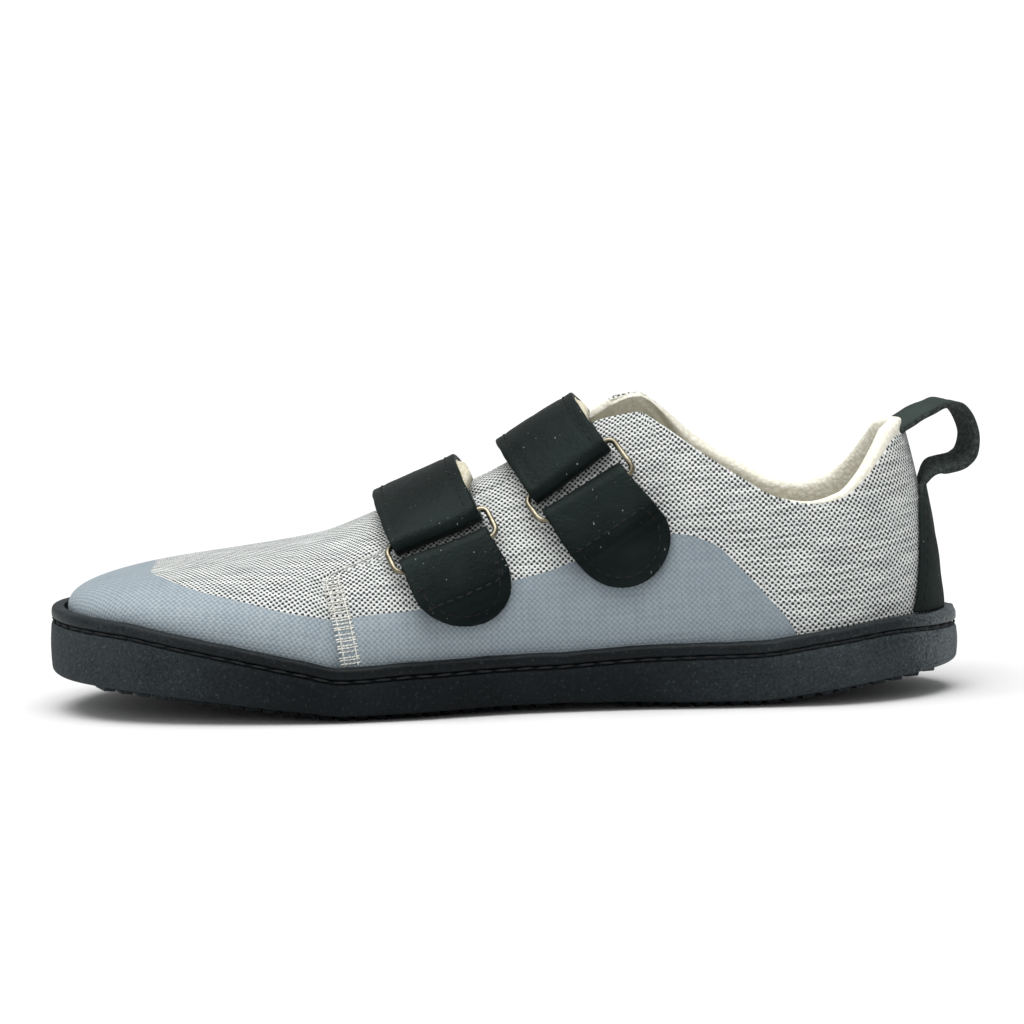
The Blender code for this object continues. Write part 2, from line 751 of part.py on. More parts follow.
def tab_stations(bar, end):
    """The ring's keeper: a short hidden leg, the turn round the bar, then the leg that shows."""
    half, over = strap_width / 2, under_layer + turn_height
    stations = [(-bar - tab_hidden * (1 - k / 3), under_layer, half, math.pi, 0.0) for k in range(4)]
    radius = turn_height / 2
    for angle in np.linspace(0, math.pi, 7)[1:-1]:
        run = -bar + radius * math.sin(angle)
        stations.append((run, under_layer + radius * (1 - math.cos(angle)), half, math.pi - angle, 0.0))
    tip = tab_width / 2
    for run in np.r_[np.linspace(-bar, -end + tip, 8)[:-1],
                     -end + tip * (1 - np.sin(np.linspace(0, math.pi / 2, 6)))]:
        down = eased((-bar - tab_hidden - leather / 2 - run) / (4 * mm))
        wide = half + (tip - half) * eased((-bar - run) / tab_hidden)
        height = over + (under_layer - over) * down
        stations.append((run, height, rounded_half(end + run, wide), 0.0, 0.0))
    return stations


def make_ring(name, frame, first, second):
    """A wire ring with round corners, through the strap's turn and the tab's turn."""
    height = under_layer + turn_height / 2
    middle, reach = -(first + second) / 2, (second - first) / 2
    half = strap_width / 2 + ring_side
    plan = []
    for across, along_way, start in ((1, 1, 0), (-1, 1, 90), (-1, -1, 180), (1, -1, 270)):
        for step in range(4):
            angle = math.radians(start + 30 * step)
            plan.append((middle + along_way * (reach - ring_corner) + ring_corner * math.sin(angle),
                         across * (half - ring_corner) + ring_corner * math.cos(angle)))
        if across == along_way:
            run = middle + along_way * reach
            plan += [(run, along_way * share * half) for share in (0.5, 0.0, -0.5)]
    points = [frame.place(run, sideways, height) for run, sideways in plan]
    curve = bpy.data.curves.new(name, "CURVE")
    curve.dimensions = "3D"
    curve.bevel_depth = ring_wire / 2
    curve.bevel_resolution = wire_rounding
    spline = curve.splines.new("POLY")
    spline.points.add(len(points) - 1)
    for target, point in zip(spline.points, points):
        target.co = (*point, 1)
    spline.use_cyclic_u = True
    drawn = bpy.data.objects.new(name + "_wire", curve)
    bpy.context.scene.collection.objects.link(drawn)
    bpy.context.view_layer.update()
    mesh = bpy.data.meshes.new_from_object(drawn.evaluated_get(bpy.context.evaluated_depsgraph_get()))
    bpy.data.objects.remove(drawn)
    return add_object(name, [v.co for v in mesh.vertices], [tuple(p.vertices) for p in mesh.polygons],
                      (0.45, 0.36, 0.20), 0.35, 1.0, smooth_angle=60)


def make_pad(name, frame, reach, tip, columns=5):
    """The cream pad between a strap's two layers, thicker at the heel edge."""
    half = strap_width / 2 - clearance
    spread = np.linspace(-1, 1, columns)
    low = under_layer + leather / 2 + clearance
    loops = []
    for run in even_runs(-reach + pad_settle, tip - strap_width / 2):
        thick = [
            pad_gap - 2 * clearance + pad_lean * (1 + s * half / (strap_width / 2)) / 2 for s in spread
        ]
        top = [frame.place(run, s * half, low + t) for s, t in zip(spread, thick)]
        under = [frame.place(run, s * half, low) for s in spread]
        loops.append([*top, *reversed(under)])
    return strip(name, loops, columns, (0.70, 0.66, 0.55), 0.95)


def make_strap_set(row):
    name, ridge_share, slope, spread = row[:4]
    reach, tab_end, tip, root = (share * ball_width for share in row[4:])
    frame = BandFrame(ridge_share, slope, spread, reach)
    black = (0.016, 0.020, 0.019)
    bar = reach + ring_opening
    folded_band(f"strap_{name}", frame, strap_stations(reach, tip, root), leather, black)
    make_pad(f"strap_pad_{name}", frame, reach, tip)
    folded_band(f"ring_tab_{name}", frame, tab_stations(bar, tab_end), leather, black)
    make_ring(f"ring_{name}", frame, reach, bar)


def heel_back(z, y=0.0):
    """Distance of the upper's back from the toe, at a height and a distance from the middle."""
    hit = last_tree.ray_cast(Vector((2 * length, y, z)), Vector((-1, 0, 0)))[0]
    return hit.x if hit else length


def welt_edge(y):
    """Height of the welt at the upper's back, at a distance from the middle."""
    side = range(int(0.8 * ribs_a_side), ribs_a_side + 1)
    feet = [rib_curve(i if y < 0 else rib_count - i, 0) for i in side]
    nearest = min(feet, key=lambda foot: abs(abs(foot[1]) - abs(y)))
    return nearest[2] + clearance


def make_pull_loop():
    """One strip: a loop from the collar's top, coming back to the heel and widening down to the welt."""
    columns = 7
    spread = np.linspace(-1, 1, columns)
    stay_top = loop_route[-1][1] * instep_height
    seat = clearance + leather / 2
    anchor = heel_back(stay_top) + seat - loop_route[-1][0] * loop_reach
    turned = Vector((-math.sin(loop_turn), math.cos(loop_turn), 0))
    rows = [(share, *row) for share, row in zip(np.linspace(0, 1, len(loop_route)), loop_route)]
    centre, turns = [], []
    for share in np.linspace(0, 1, 20):
        out, height, twist = smooth(rows, share)
        yaw = eased(2 * (out - loop_route[-1][0]))
        turns.append(Vector((0, 1, 0)).lerp(turned, yaw) + Vector((0, 0, twist)))
        swing = max(out - loop_route[-1][0], 0) * loop_reach * math.tan(loop_turn)
        centre.append(Vector((anchor + out * loop_reach, swing, height * instep_height)))
    loops = []
    for k, middle in enumerate(centre):
        run = (centre[min(k + 1, len(centre) - 1)] - centre[max(k - 1, 0)]).normalized()
        across = (turns[k] - run * turns[k].dot(run)).normalized()
        normal = run.cross(across)
        if normal.dot(Vector((-run.z, 0, run.x))) < 0:
            normal = -normal
        top = [middle + across * s * loop_width / 2 + normal * leather / 2 for s in spread]
        under = [middle + across * s * loop_width / 2 - normal * leather / 2 for s in spread]
        loops.append([*top, *reversed(under)])
    steps = 8
    feet = [welt_edge(s * stay_base_width / 2) + 2 * clearance for s in spread]
    for k in range(1, steps + 1):
        share = k / steps
        half = (loop_width + (stay_base_width - loop_width) * share**0.6) / 2
        top, under = [], []
        for s, foot in zip(spread, feet):
            z = stay_top + (foot - stay_top) * share
            x = heel_back(z, s * half)
            skew = (heel_back(z, s * half + mm) - heel_back(z, s * half - mm)) / (2 * mm)
            normal = Vector((1, -skew, 0)).normalized()
            top.append(Vector((x, s * half, z)) + normal * (seat + leather / 2))
            under.append(Vector((x, s * half, z)) + normal * (seat - leather / 2))
        loops.append([*top, *reversed(under)])
    return strip("heel_pull_loop", loops, columns, (0.018, 0.024, 0.023), 0.8)


def centre_on_origin():
    """Carries the whole shoe so that the origin is under the middle of its box."""
    bpy.context.view_layer.update()
    graph = bpy.context.evaluated_depsgraph_get()
    points = np.vstack([
        np.array([v.co for v in obj.evaluated_get(graph).to_mesh().vertices]) for obj in shoe.objects
    ])
    low, high = points.min(axis=0), points.max(axis=0)
    carrier.location = (-(low[0] + high[0]) / 2, -(low[1] + high[1]) / 2, -low[2])


for old in list(bpy.data.objects):
    bpy.data.objects.remove(old)
shoe = bpy.data.collections.new("barefoot_shoe")
helpers = bpy.data.collections.new("helpers")
bpy.context.scene.collection.children.link(shoe)
bpy.context.scene.collection.children.link(helpers)
carrier = bpy.data.objects.new("shoe_carrier", None)
bpy.context.scene.collection.objects.link(carrier)

last_tree = last_surface()
make_outsole()
make_welt()
make_insole()
make_upper()
make_tongue()
for strap_row in straps:
    make_strap_set(strap_row)
make_pull_loop()
centre_on_origin()
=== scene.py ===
import math

import bmesh
import bpy
import numpy as np
from mathutils import Matrix, Vector
from mathutils.bvhtree import BVHTree


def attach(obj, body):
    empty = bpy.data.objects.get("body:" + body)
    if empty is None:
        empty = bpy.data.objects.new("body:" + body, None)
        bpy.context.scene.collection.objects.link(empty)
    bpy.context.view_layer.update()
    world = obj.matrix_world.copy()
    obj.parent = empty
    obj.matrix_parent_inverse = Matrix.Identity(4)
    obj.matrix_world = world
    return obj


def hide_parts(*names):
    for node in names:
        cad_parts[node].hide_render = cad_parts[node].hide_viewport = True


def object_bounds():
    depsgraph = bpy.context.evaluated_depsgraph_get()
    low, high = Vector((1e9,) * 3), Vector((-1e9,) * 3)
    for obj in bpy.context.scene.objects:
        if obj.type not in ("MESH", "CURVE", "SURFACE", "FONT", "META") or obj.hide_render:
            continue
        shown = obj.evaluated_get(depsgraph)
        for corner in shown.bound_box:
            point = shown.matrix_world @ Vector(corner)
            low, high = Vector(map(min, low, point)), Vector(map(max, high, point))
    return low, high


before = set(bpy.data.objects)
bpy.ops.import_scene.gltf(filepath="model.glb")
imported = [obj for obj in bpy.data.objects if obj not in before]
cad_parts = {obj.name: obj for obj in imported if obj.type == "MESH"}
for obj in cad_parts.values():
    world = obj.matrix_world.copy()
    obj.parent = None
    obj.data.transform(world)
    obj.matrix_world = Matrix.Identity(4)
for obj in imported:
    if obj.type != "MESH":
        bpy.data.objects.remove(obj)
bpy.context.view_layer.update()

mm = 0.001
rowShift = np.array([-105.376, -0.016, 0.0]) * mm    # from the toe tip to the middle of the shoe's box

# the last and the sole, in the same sizes as the solids; toe tip at x = 0, inner side at -Y
last = {
    "length": 205 * mm,
    "ballWidth": 86 * mm,
    "heelWidth": 60 * mm,
    "instep": 66 * mm,
    "ankle": 36 * mm,
    "toeLean": 5 * mm,
    "toeSpring": 7 * mm,
    "heelSpring": 5 * mm,
    "archLift": 0.6 * mm,
    "gap": 0.3 * mm,
    "wall": 1.7 * mm,
}
sole = {
    "rim": 1.3 * mm,
    "floor": 3.0 * mm,
    "side": 10.0 * mm,
    "cupWall": 2.9 * mm,
    "edge": 1.6 * mm,
    "groove": 1.1 * mm,
    "grooveDepth": 1.0 * mm,
    "strip": 2.6 * mm,
    "lugPitch": 4.0 * mm,
    "lugWidth": 3.0 * mm,
    "lugHeight": 1.9 * mm,
    "lugBorder": 4.5 * mm,
    "lugBow": 5.0 * mm,
    "insole": 3.0 * mm,
    "threadPitch": 4.6 * mm,
    "threadStitch": 3.9 * mm,
    "thread": 0.62 * mm,
}

# share of the length, share of the ball width, share of the heel width
toeTip = (0.000, -0.115, 0.000)
heelTip = (1.000, 0.000, 0.000)
innerOutline = [
    (0.022, 0.290, 0.000),
    (0.070, 0.405, 0.000),
    (0.150, 0.475, 0.000),
    (0.290, 0.500, 0.000),
    (0.390, 0.468, 0.000),
    (0.510, 0.350, 0.050),
    (0.640, 0.175, 0.245),
    (0.760, 0.000, 0.490),
    (0.880, 0.000, 0.452),
    (0.962, 0.000, 0.280),
]
outerOutline = [
    (0.020, 0.105, 0.000),
    (0.068, 0.275, 0.000),
    (0.150, 0.405, 0.000),
    (0.250, 0.478, 0.000),
    (0.360, 0.500, 0.000),
    (0.500, 0.390, 0.070),
    (0.640, 0.190, 0.310),
    (0.760, 0.000, 0.530),
    (0.880, 0.000, 0.475),
    (0.962, 0.000, 0.290),
]
# share of the length, toe spring, heel spring, arch lift, height of the side up to the groove
soleStations = [
    (0.000, 1.00, 0.00, 0.0, 1.16),
    (0.080, 0.86, 0.00, 0.0, 1.14),
    (0.150, 0.64, 0.00, 0.0, 1.02),
    (0.220, 0.38, 0.00, 0.0, 0.90),
    (0.280, 0.16, 0.00, 0.0, 0.78),
    (0.325, 0.00, 0.00, 0.0, 0.71),
    (0.400, 0.00, 0.00, 0.2, 0.76),
    (0.540, 0.00, 0.00, 1.0, 0.76),
    (0.640, 0.00, 0.00, 0.6, 0.88),
    (0.700, 0.00, 0.00, 0.0, 0.95),
    (0.770, 0.00, 0.00, 0.0, 0.97),
    (0.850, 0.00, 0.38, 0.0, 0.99),
    (0.920, 0.00, 0.76, 0.0, 0.98),
    (1.000, 0.00, 1.00, 0.0, 0.80),
]
# share of the way round, tuck, top x, top y, top z, side lever, bulge, crown lever, ridge slope, crown drop
ribStations = [
    (0.00, 0.008, 0.170, 0.00, 0.506, 0.58, 0.000, 0.67, 0.14, 0.00),
    (0.12, 0.006, 0.185, 0.00, 0.513, 0.60, 0.004, 0.66, 0.15, 0.00),
    (0.24, 0.002, 0.235, 0.00, 0.533, 0.62, 0.010, 0.65, 0.17, 0.00),
    (0.34, 0.000, 0.295, 0.00, 0.567, 0.60, 0.014, 0.63, 0.26, 0.00),
    (0.44, 0.000, 0.375, 0.00, 0.660, 0.56, 0.016, 0.60, 0.36, 0.00),
    (0.54, 0.000, 0.460, 0.00, 0.755, 0.54, 0.014, 0.58, 0.42, 0.00),
    (0.63, 0.000, 0.545, 0.00, 0.890, 0.53, 0.012, 0.60, 0.56, 0.00),
    (0.70, 0.000, 0.615, 0.00, 1.010, 0.52, 0.014, 0.62, 0.55, 0.00),
    (0.76, 0.000, 0.668, 0.10, 1.200, 0.44, 0.018, 0.50, 0.30, 0.14),
    (0.82, 0.000, 0.710, 0.34, 1.400, 0.36, 0.022, 0.34, 0.00, 0.30),
    (0.88, 0.003, 0.775, 0.50, 1.450, 0.34, 0.020, 0.32, 0.00, 0.33),
    (0.94, 0.010, 0.848, 0.38, 1.450, 0.34, 0.002, 0.45, 0.00, 0.33),
    (1.00, 0.015, 0.884, 0.00, 1.450, 0.34, -0.020, 0.55, 0.00, 0.33),
]
# edge of the quarters, along the throat and then the collar: share of the length, inner height, outer height
quarterEdge = [
    (0.380, 0.668, 0.668),
    (0.398, 0.652, 0.652),
    (0.430, 0.672, 0.672),
    (0.475, 0.715, 0.715),
    (0.505, 0.757, 0.757),
    (0.550, 0.856, 0.862),
    (0.600, 0.945, 0.982),
    (0.630, 0.972, 1.026),
    (0.650, 0.982, 1.026),
    (0.672, 0.947, 0.982),
    (0.715, 0.859, 0.862),
    (0.758, 0.773, 0.773),
    (0.800, 0.703, 0.703),
    (0.831, 0.689, 0.689),
    (0.866, 0.715, 0.715),
    (0.890, 0.779, 0.779),
    (0.911, 0.865, 0.865),
    (0.926, 0.925, 0.925),
    (0.942, 0.940, 0.940),
    (1.000, 0.940, 0.940),
]


class Table:
    # rows of numbers, read smoothly and without overshoot at values of their first column
    def __init__(self, rows):
        data = np.array(rows, float)
        self.keys, self.values = data[:, 0], data[:, 1:]
        rise = np.diff(self.values, axis=0) / np.diff(self.keys)[:, None]
        before, after = rise[:-1], rise[1:]
        sameWay = before * after > 0
        total = np.where(sameWay, before + after, 1)
        self.slopes = np.vstack([rise[:1], np.where(sameWay, 2 * before * after / total, 0), rise[-1:]])

    def __call__(self, at):
        at = np.clip(np.asarray(at, float), self.keys[0], self.keys[-1])
        i = np.clip(np.searchsorted(self.keys, at) - 1, 0, len(self.keys) - 2)
        span = (self.keys[i + 1] - self.keys[i])[..., None]
        t = (at - self.keys[i])[..., None] / span
        a, b = self.values[i], self.values[i + 1]
        fromA, fromB = self.slopes[i] * span, self.slopes[i + 1] * span
        return ((2 * t**3 - 3 * t**2 + 1) * a + (t**3 - 2 * t**2 + t) * fromA
                + (3 * t**2 - 2 * t**3) * b + (t**3 - t**2) * fromB)


def eased(value):
    share = np.clip(value, 0.0, 1.0)
    return 3 * share**2 - 2 * share**3


def unit(vectors):
    return vectors / np.maximum(np.linalg.norm(vectors, axis=-1, keepdims=True), 1e-12)


def drawOutline(perSpan=48):
    def corner(row, side):
        return (row[0] * last["length"], side * (row[1] * last["ballWidth"] + row[2] * last["heelWidth"]))

    inner = [corner(row, -1) for row in innerOutline]
    outer = [corner(row, 1) for row in outerOutline]
    points = np.array([corner(toeTip, 1), *inner, corner(heelTip, 1), *reversed(outer)])
    drawn = []
    for i in range(len(points)):
        p0, p1, p2, p3 = (points[(i + k) % len(points)] for k in (-1, 0, 1, 2))
        d0, d1, d2 = (math.sqrt(np.linalg.norm(b - a)) for a, b in ((p0, p1), (p1, p2), (p2, p3)))
        m1 = ((p1 - p0) / d0 - (p2 - p0) / (d0 + d1) + (p2 - p1) / d1) * d1
        m2 = ((p2 - p1) / d1 - (p3 - p1) / (d1 + d2) + (p3 - p2) / d2) * d1
        t = (np.arange(perSpan) / perSpan)[:, None]
        drawn.append((2 * t**3 - 3 * t**2 + 1) * p1 + (t**3 - 2 * t**2 + t) * m1
                     + (3 * t**2 - 2 * t**3) * p2 + (t**3 - t**2) * m2)
    curve = np.vstack(drawn)
    run = np.roll(curve, -1, axis=0) - np.roll(curve, 1, axis=0)
    normal = unit(np.stack([-run[:, 1], run[:, 0]], axis=1))
    if ((curve - curve.mean(axis=0)) * normal).sum() < 0:
        normal = -normal
    heel = (len(inner) + 1) * perSpan
    lines = {}
    for side, order in ((-1, np.arange(heel + 1)), (1, np.r_[0, np.arange(len(curve) - 1, heel - 1, -1)])):
        line = np.hstack([curve[order], normal[order]])
        steps = np.r_[0, np.cumsum(np.linalg.norm(np.diff(line[:, :2], axis=0), axis=1))]
        lines[side] = (steps / steps[-1], line)
    return lines


outlineLines = drawOutline()
soleTable, ribTable, edgeTable = Table(soleStations), Table(ribStations), Table(quarterEdge)


def outlineAt(side, run):
    # place in plan and outward normal, at a share of the way from the toe to the heel on either side
    found = []
    for steps, line in (outlineLines[-1], outlineLines[1]):
        found.append(np.stack([np.interp(run, steps, line[:, k]) for k in range(4)], axis=-1))
    both = np.where((np.asarray(side) < 0)[..., None], found[0], found[1])
    return both[..., :2], unit(both[..., 2:])


def rimZ(x):
    row = soleTable(x / last["length"])
    return (sole["rim"] + row[..., 0] * last["toeSpring"] + row[..., 1] * last["heelSpring"]
            + row[..., 2] * last["archLift"])


def grooveZ(x):
    return rimZ(x) + soleTable(x / last["length"])[..., 3] * sole["side"]


def stripZ(x):
    return grooveZ(x) + sole["groove"] + sole["strip"]


def cupZ(x):
    return rimZ(x) + sole["floor"]


def lastAt(side, run, v):
    # the last's surface, from the welt at v = 0 to the ridge or far over the collar at 1
    # under 0 it goes straight down into the cup
    side, run, v = np.broadcast_arrays(np.asarray(side, float), np.asarray(run, float), np.asarray(v, float))
    tuck, topX, topY, topZ, lever, bulge, crown, slope, drop = np.moveaxis(ribTable(run), -1, 0)
    plan, normal = outlineAt(side, run)
    plan = plan - normal * (sole["cupWall"] + last["gap"] + tuck * last["ballWidth"])[..., None]
    base = np.stack([plan[..., 0], plan[..., 1], stripZ(plan[..., 0]) - last["gap"]], axis=-1)
    lean = -last["toeLean"] * np.maximum(0, 1 - 2 * run)
    top = np.stack([topX * last["length"], lean + side * topY * last["ankle"],
                    topZ * last["instep"]], axis=-1)
    reach = top - base
    low = base + np.stack([normal[..., 0] * bulge * last["ballWidth"],
                           normal[..., 1] * bulge * last["ballWidth"], lever * reach[..., 2]], axis=-1)
    high = top - np.stack([crown * reach[..., 0], crown * reach[..., 1],
                           crown * slope * reach[..., 0] + drop * reach[..., 2]], axis=-1)
    t = np.clip(v, 0, 1)[..., None]
    u = 1 - t
    point = u**3 * base + 3 * u * u * t * low + 3 * u * t * t * high + t**3 * top
    sunk = np.clip(-v, 0, 1) * (base[..., 2] - cupZ(base[..., 0]) - last["gap"])
    point[..., 2] -= sunk
    return point


def lastNormal(side, run, v):
    step = 0.004
    roundWay = lastAt(side, np.clip(run + step, 0, 1), v) - lastAt(side, np.clip(run - step, 0, 1), v)
    upWay = lastAt(side, run, np.clip(v + step, 0, 1)) - lastAt(side, run, np.clip(v - step, 0, 1))
    normal = unit(np.cross(roundWay, upWay))
    point = lastAt(side, run, v)
    middle = np.clip(point[..., 0], 0.25 * last["length"], 0.85 * last["length"])
    away = point - np.stack([middle, 0 * middle, 0 * middle + 0.25 * last["instep"]], axis=-1)
    flip = (normal * away).sum(axis=-1, keepdims=True) < 0
    return np.where(flip, -normal, normal)


# soft folds, in millimetres from the toe tip: from x, y, z to x, y, z, then how wide and how high
# a height under 0 is a trough
folds = [
    ((60, -33, 30), (66, -14, 40), 5.0, -0.45),
    ((54, -34, 27), (58, -18, 38), 6.0, 0.35),
    ((58, 30, 32), (63, 10, 41), 5.5, -0.45),
    ((70, -36, 24), (84, -33, 27), 5.0, -0.30),
    ((96, -30, 24), (112, -26, 31), 6.0, 0.35),
    ((98, 31, 26), (114, 27, 33), 6.0, -0.40),
    ((128, -24, 44), (148, -24, 33), 6.0, -0.40),
    ((138, -22, 50), (160, -24, 40), 5.5, 0.40),
    ((150, -25, 36), (172, -25, 28), 7.0, -0.35),
    ((130, 25, 44), (150, 25, 34), 6.0, -0.45),
    ((176, -24, 42), (190, -16, 30), 6.0, 0.30),
    ((176, 24, 42), (190, 16, 32), 6.0, 0.30),
    ((164, -26, 22), (186, -22, 26), 5.0, -0.25),
    ((34, -30, 26), (44, -24, 33), 6.0, -0.20),
    ((120, -26, 22), (140, -26, 26), 6.0, -0.25),
]


def foldHeight(points):
    height = np.zeros(points.shape[:-1])
    for start, end, width, rise in folds:
        a, b = np.array(start) * mm, np.array(end) * mm
        along = np.clip(((points - a) @ (b - a)) / ((b - a) @ (b - a)), 0, 1)
        away = np.linalg.norm(points - (a + along[..., None] * (b - a)), axis=-1)
        taper = 0.25 + 0.75 * np.sin(np.pi * np.clip(along, 0.08, 0.92))
        height += rise * mm * taper * np.exp(-((away / (width * mm)) ** 2))
    return height


def cutV(side, run):
    # how far up each rib the surface goes before it reaches the quarters' edge
    levels = np.linspace(0, 1, 401)
    lines = lastAt(side, run[:, None], levels[None, :])
    share = lines[..., 0] / last["length"]
    rows = edgeTable(share)
    edge = np.where(lines[..., 1] > 0, rows[..., 1], rows[..., 0]) * last["instep"]
    below = np.where(share < quarterEdge[0][0], 1.0, edge - lines[..., 2])
    result = []
    for gap in below:
        k = int(np.argmax(gap <= 0)) if (gap <= 0).any() else 400
        part = gap[k - 1] / (gap[k - 1] - gap[k]) if 0 < k and gap[k] <= 0 and gap[k - 1] < 0.5 else 0.0
        result.append(levels[max(k - 1, 0)] + part * levels[1] if part else levels[k])
    return np.array(result)


# meshes
root = "root"


def addPiece(name, vertices, faces, materials, faceMaterials=None):
    mesh = bpy.data.meshes.new(name)
    corners = [tuple(int(i) for i in face) for face in faces]
    mesh.from_pydata((np.asarray(vertices) + rowShift).tolist(), [], corners)
    for material in materials:
        mesh.materials.append(material)
    if faceMaterials is not None:
        mesh.polygons.foreach_set("material_index", np.asarray(faceMaterials, np.int32))
    mesh.update()
    mesh.shade_smooth()
    obj = bpy.data.objects.new(name, mesh)
    bpy.context.scene.collection.objects.link(obj)
    return obj


def gridFaces(rows, columns, closedRows=False, closedColumns=False, start=0):
    i = np.arange(rows if closedRows else rows - 1)
    j = np.arange(columns if closedColumns else columns - 1)
    a, b = np.meshgrid(i, j, indexing="ij")
    c, d = (a + 1) % rows, (b + 1) % columns
    corners = [a * columns + b, c * columns + b, c * columns + d, a * columns + d]
    return np.stack(corners, -1).reshape(-1, 4) + start


def tubeFaces(count, ring):
    # round loops one after the other, with both ends shut
    faces = gridFaces(count, ring, closedColumns=True).tolist()
    return faces + [list(range(ring)), list(range((count - 1) * ring, count * ring))[::-1]]


def outwardFaces(obj, merge=0.00002):
    work = bmesh.new()
    work.from_mesh(obj.data)
    bmesh.ops.remove_doubles(work, verts=work.verts, dist=merge)
    bmesh.ops.dissolve_degenerate(work, edges=work.edges, dist=merge / 4)
    bmesh.ops.recalc_face_normals(work, faces=work.faces)
    work.to_mesh(obj.data)
    work.free()
    obj.data.update()
    return obj


def flattened(grid, start, end, tilt):
    # the panel laid out flat as its cutter's pattern, in millimetres, start to end lying at the given tilt
    rows, columns = grid.shape[:2]
    r = np.unique(np.linspace(0, rows - 1, min(rows, 96)).round().astype(int))
    c = np.unique(np.linspace(0, columns - 1, min(columns, 50)).round().astype(int))
    coarse = grid[np.ix_(r, c)]
    mesh = bpy.data.meshes.new("pattern")
    mesh.from_pydata(coarse.reshape(-1, 3).tolist(), [], gridFaces(len(r), len(c)).tolist())
    obj = bpy.data.objects.new("pattern", mesh)
    bpy.context.scene.collection.objects.link(obj)
    outwardFaces(obj, 0.000005)
    for other in bpy.context.selected_objects:
        other.select_set(False)
    bpy.context.view_layer.objects.active = obj
    obj.select_set(True)
    bpy.ops.object.mode_set(mode="EDIT")
    bpy.ops.mesh.select_all(action="SELECT")
    bpy.ops.uv.unwrap(method="MINIMUM_STRETCH", iterations=25, margin=0.0)
    bpy.ops.object.mode_set(mode="OBJECT")
    where = np.array([v.co for v in obj.data.vertices])
    flat = np.zeros((len(where), 2))
    for loop, uv in zip(obj.data.loops, obj.data.uv_layers.active.data):
        flat[loop.vertex_index] = uv.uv
    edges = np.array([e.vertices for e in obj.data.edges])
    solid = np.linalg.norm(where[edges[:, 0]] - where[edges[:, 1]], axis=1)
    drawn = np.linalg.norm(flat[edges[:, 0]] - flat[edges[:, 1]], axis=1)
    flat *= np.median(solid / np.maximum(drawn, 1e-9)) / mm
    lookup = {tuple(np.round(p, 5)): k for k, p in enumerate(where)}
    bpy.data.objects.remove(obj)
    numbers = []
    for p in coarse.reshape(-1, 3):
        key = tuple(np.round(p, 5))
        numbers.append(lookup[key] if key in lookup else int(np.argmin(((where - p) ** 2).sum(axis=1))))
    sheet = flat[numbers].reshape(len(r), len(c), 2)
    wide = np.stack([[np.interp(np.arange(columns), c, row[:, k]) for row in sheet] for k in range(2)], -1)
    full = np.stack([[np.interp(np.arange(rows), r, line) for line in wide[..., k].T] for k in range(2)], -1)
    full = full.transpose(1, 0, 2)
    way = full[end] - full[start]
    turn = math.radians(tilt) - math.atan2(way[1], way[0])
    full = full @ np.array([[math.cos(turn), math.sin(turn)], [-math.sin(turn), math.cos(turn)]])
    return full - full[start]


def panel(name, outer, inner, materials, weave=None, marks=None, rim=0.0004):
    # a closed shell between an outer and an inner grid, its borders rolled round
    rows, columns = outer.shape[:2]
    count = rows * columns
    faces = [gridFaces(rows, columns), gridFaces(rows, columns)[:, ::-1] + count]
    border = [(i, 0) for i in range(rows)] + [(rows - 1, j) for j in range(1, columns)]
    border += [(i, columns - 1) for i in range(rows - 2, -1, -1)]
    border += [(0, j) for j in range(columns - 2, 0, -1)]
    numbers = np.array([i * columns + j for i, j in border])
    outerRim, innerRim = outer.reshape(-1, 3)[numbers], inner.reshape(-1, 3)[numbers]
    within = []
    for i, j in border:
        a, b = min(max(i, 1), rows - 2), min(max(j, 1), columns - 2)
        within.append(outer[i, j] - outer[a, b])
    outwards = unit(np.array(within))
    rings = []
    for share, swell in ((0.18, 0.8), (0.5, 1.0), (0.82, 0.8)):
        rings.append(outerRim + (innerRim - outerRim) * share + outwards * rim * swell)
    vertices = np.vstack([outer.reshape(-1, 3), inner.reshape(-1, 3), *rings])
    rolled = [2 * count + k * len(border) + np.arange(len(border)) for k in range(3)]
    strips = [numbers, *rolled, numbers + count]
    after = np.roll(np.arange(len(border)), -1)
    for one, two in zip(strips, strips[1:]):
        faces.append(np.stack([one, two, two[after], one[after]], -1))
    slots = np.concatenate([np.zeros(len(faces[0])), np.ones(len(faces[1])),
                            *[np.full(len(f), k) for f, k in zip(faces[2:], (0, 0, 1, 1))]]).astype(int)
    obj = addPiece(name, vertices, np.vstack(faces), materials, slots)
    loopVertex = np.zeros(len(obj.data.loops), np.int32)
    obj.data.loops.foreach_get("vertex_index", loopVertex)
    if weave is not None:
        flat = np.vstack([weave.reshape(-1, 2)] * 2 + [weave.reshape(-1, 2)[numbers]] * 3)
        layer = obj.data.uv_layers.new(name="weave")
        layer.data.foreach_set("uv", flat[loopVertex].astype(np.float32).ravel())
    for key, field in (marks or {}).items():
        values = np.concatenate([field.ravel(), field.ravel(), *[field.ravel()[numbers]] * 3])
        attribute = obj.data.attributes.new(key, "FLOAT", "POINT")
        attribute.data.foreach_set("value", values.astype(np.float32))
    return outwardFaces(obj)


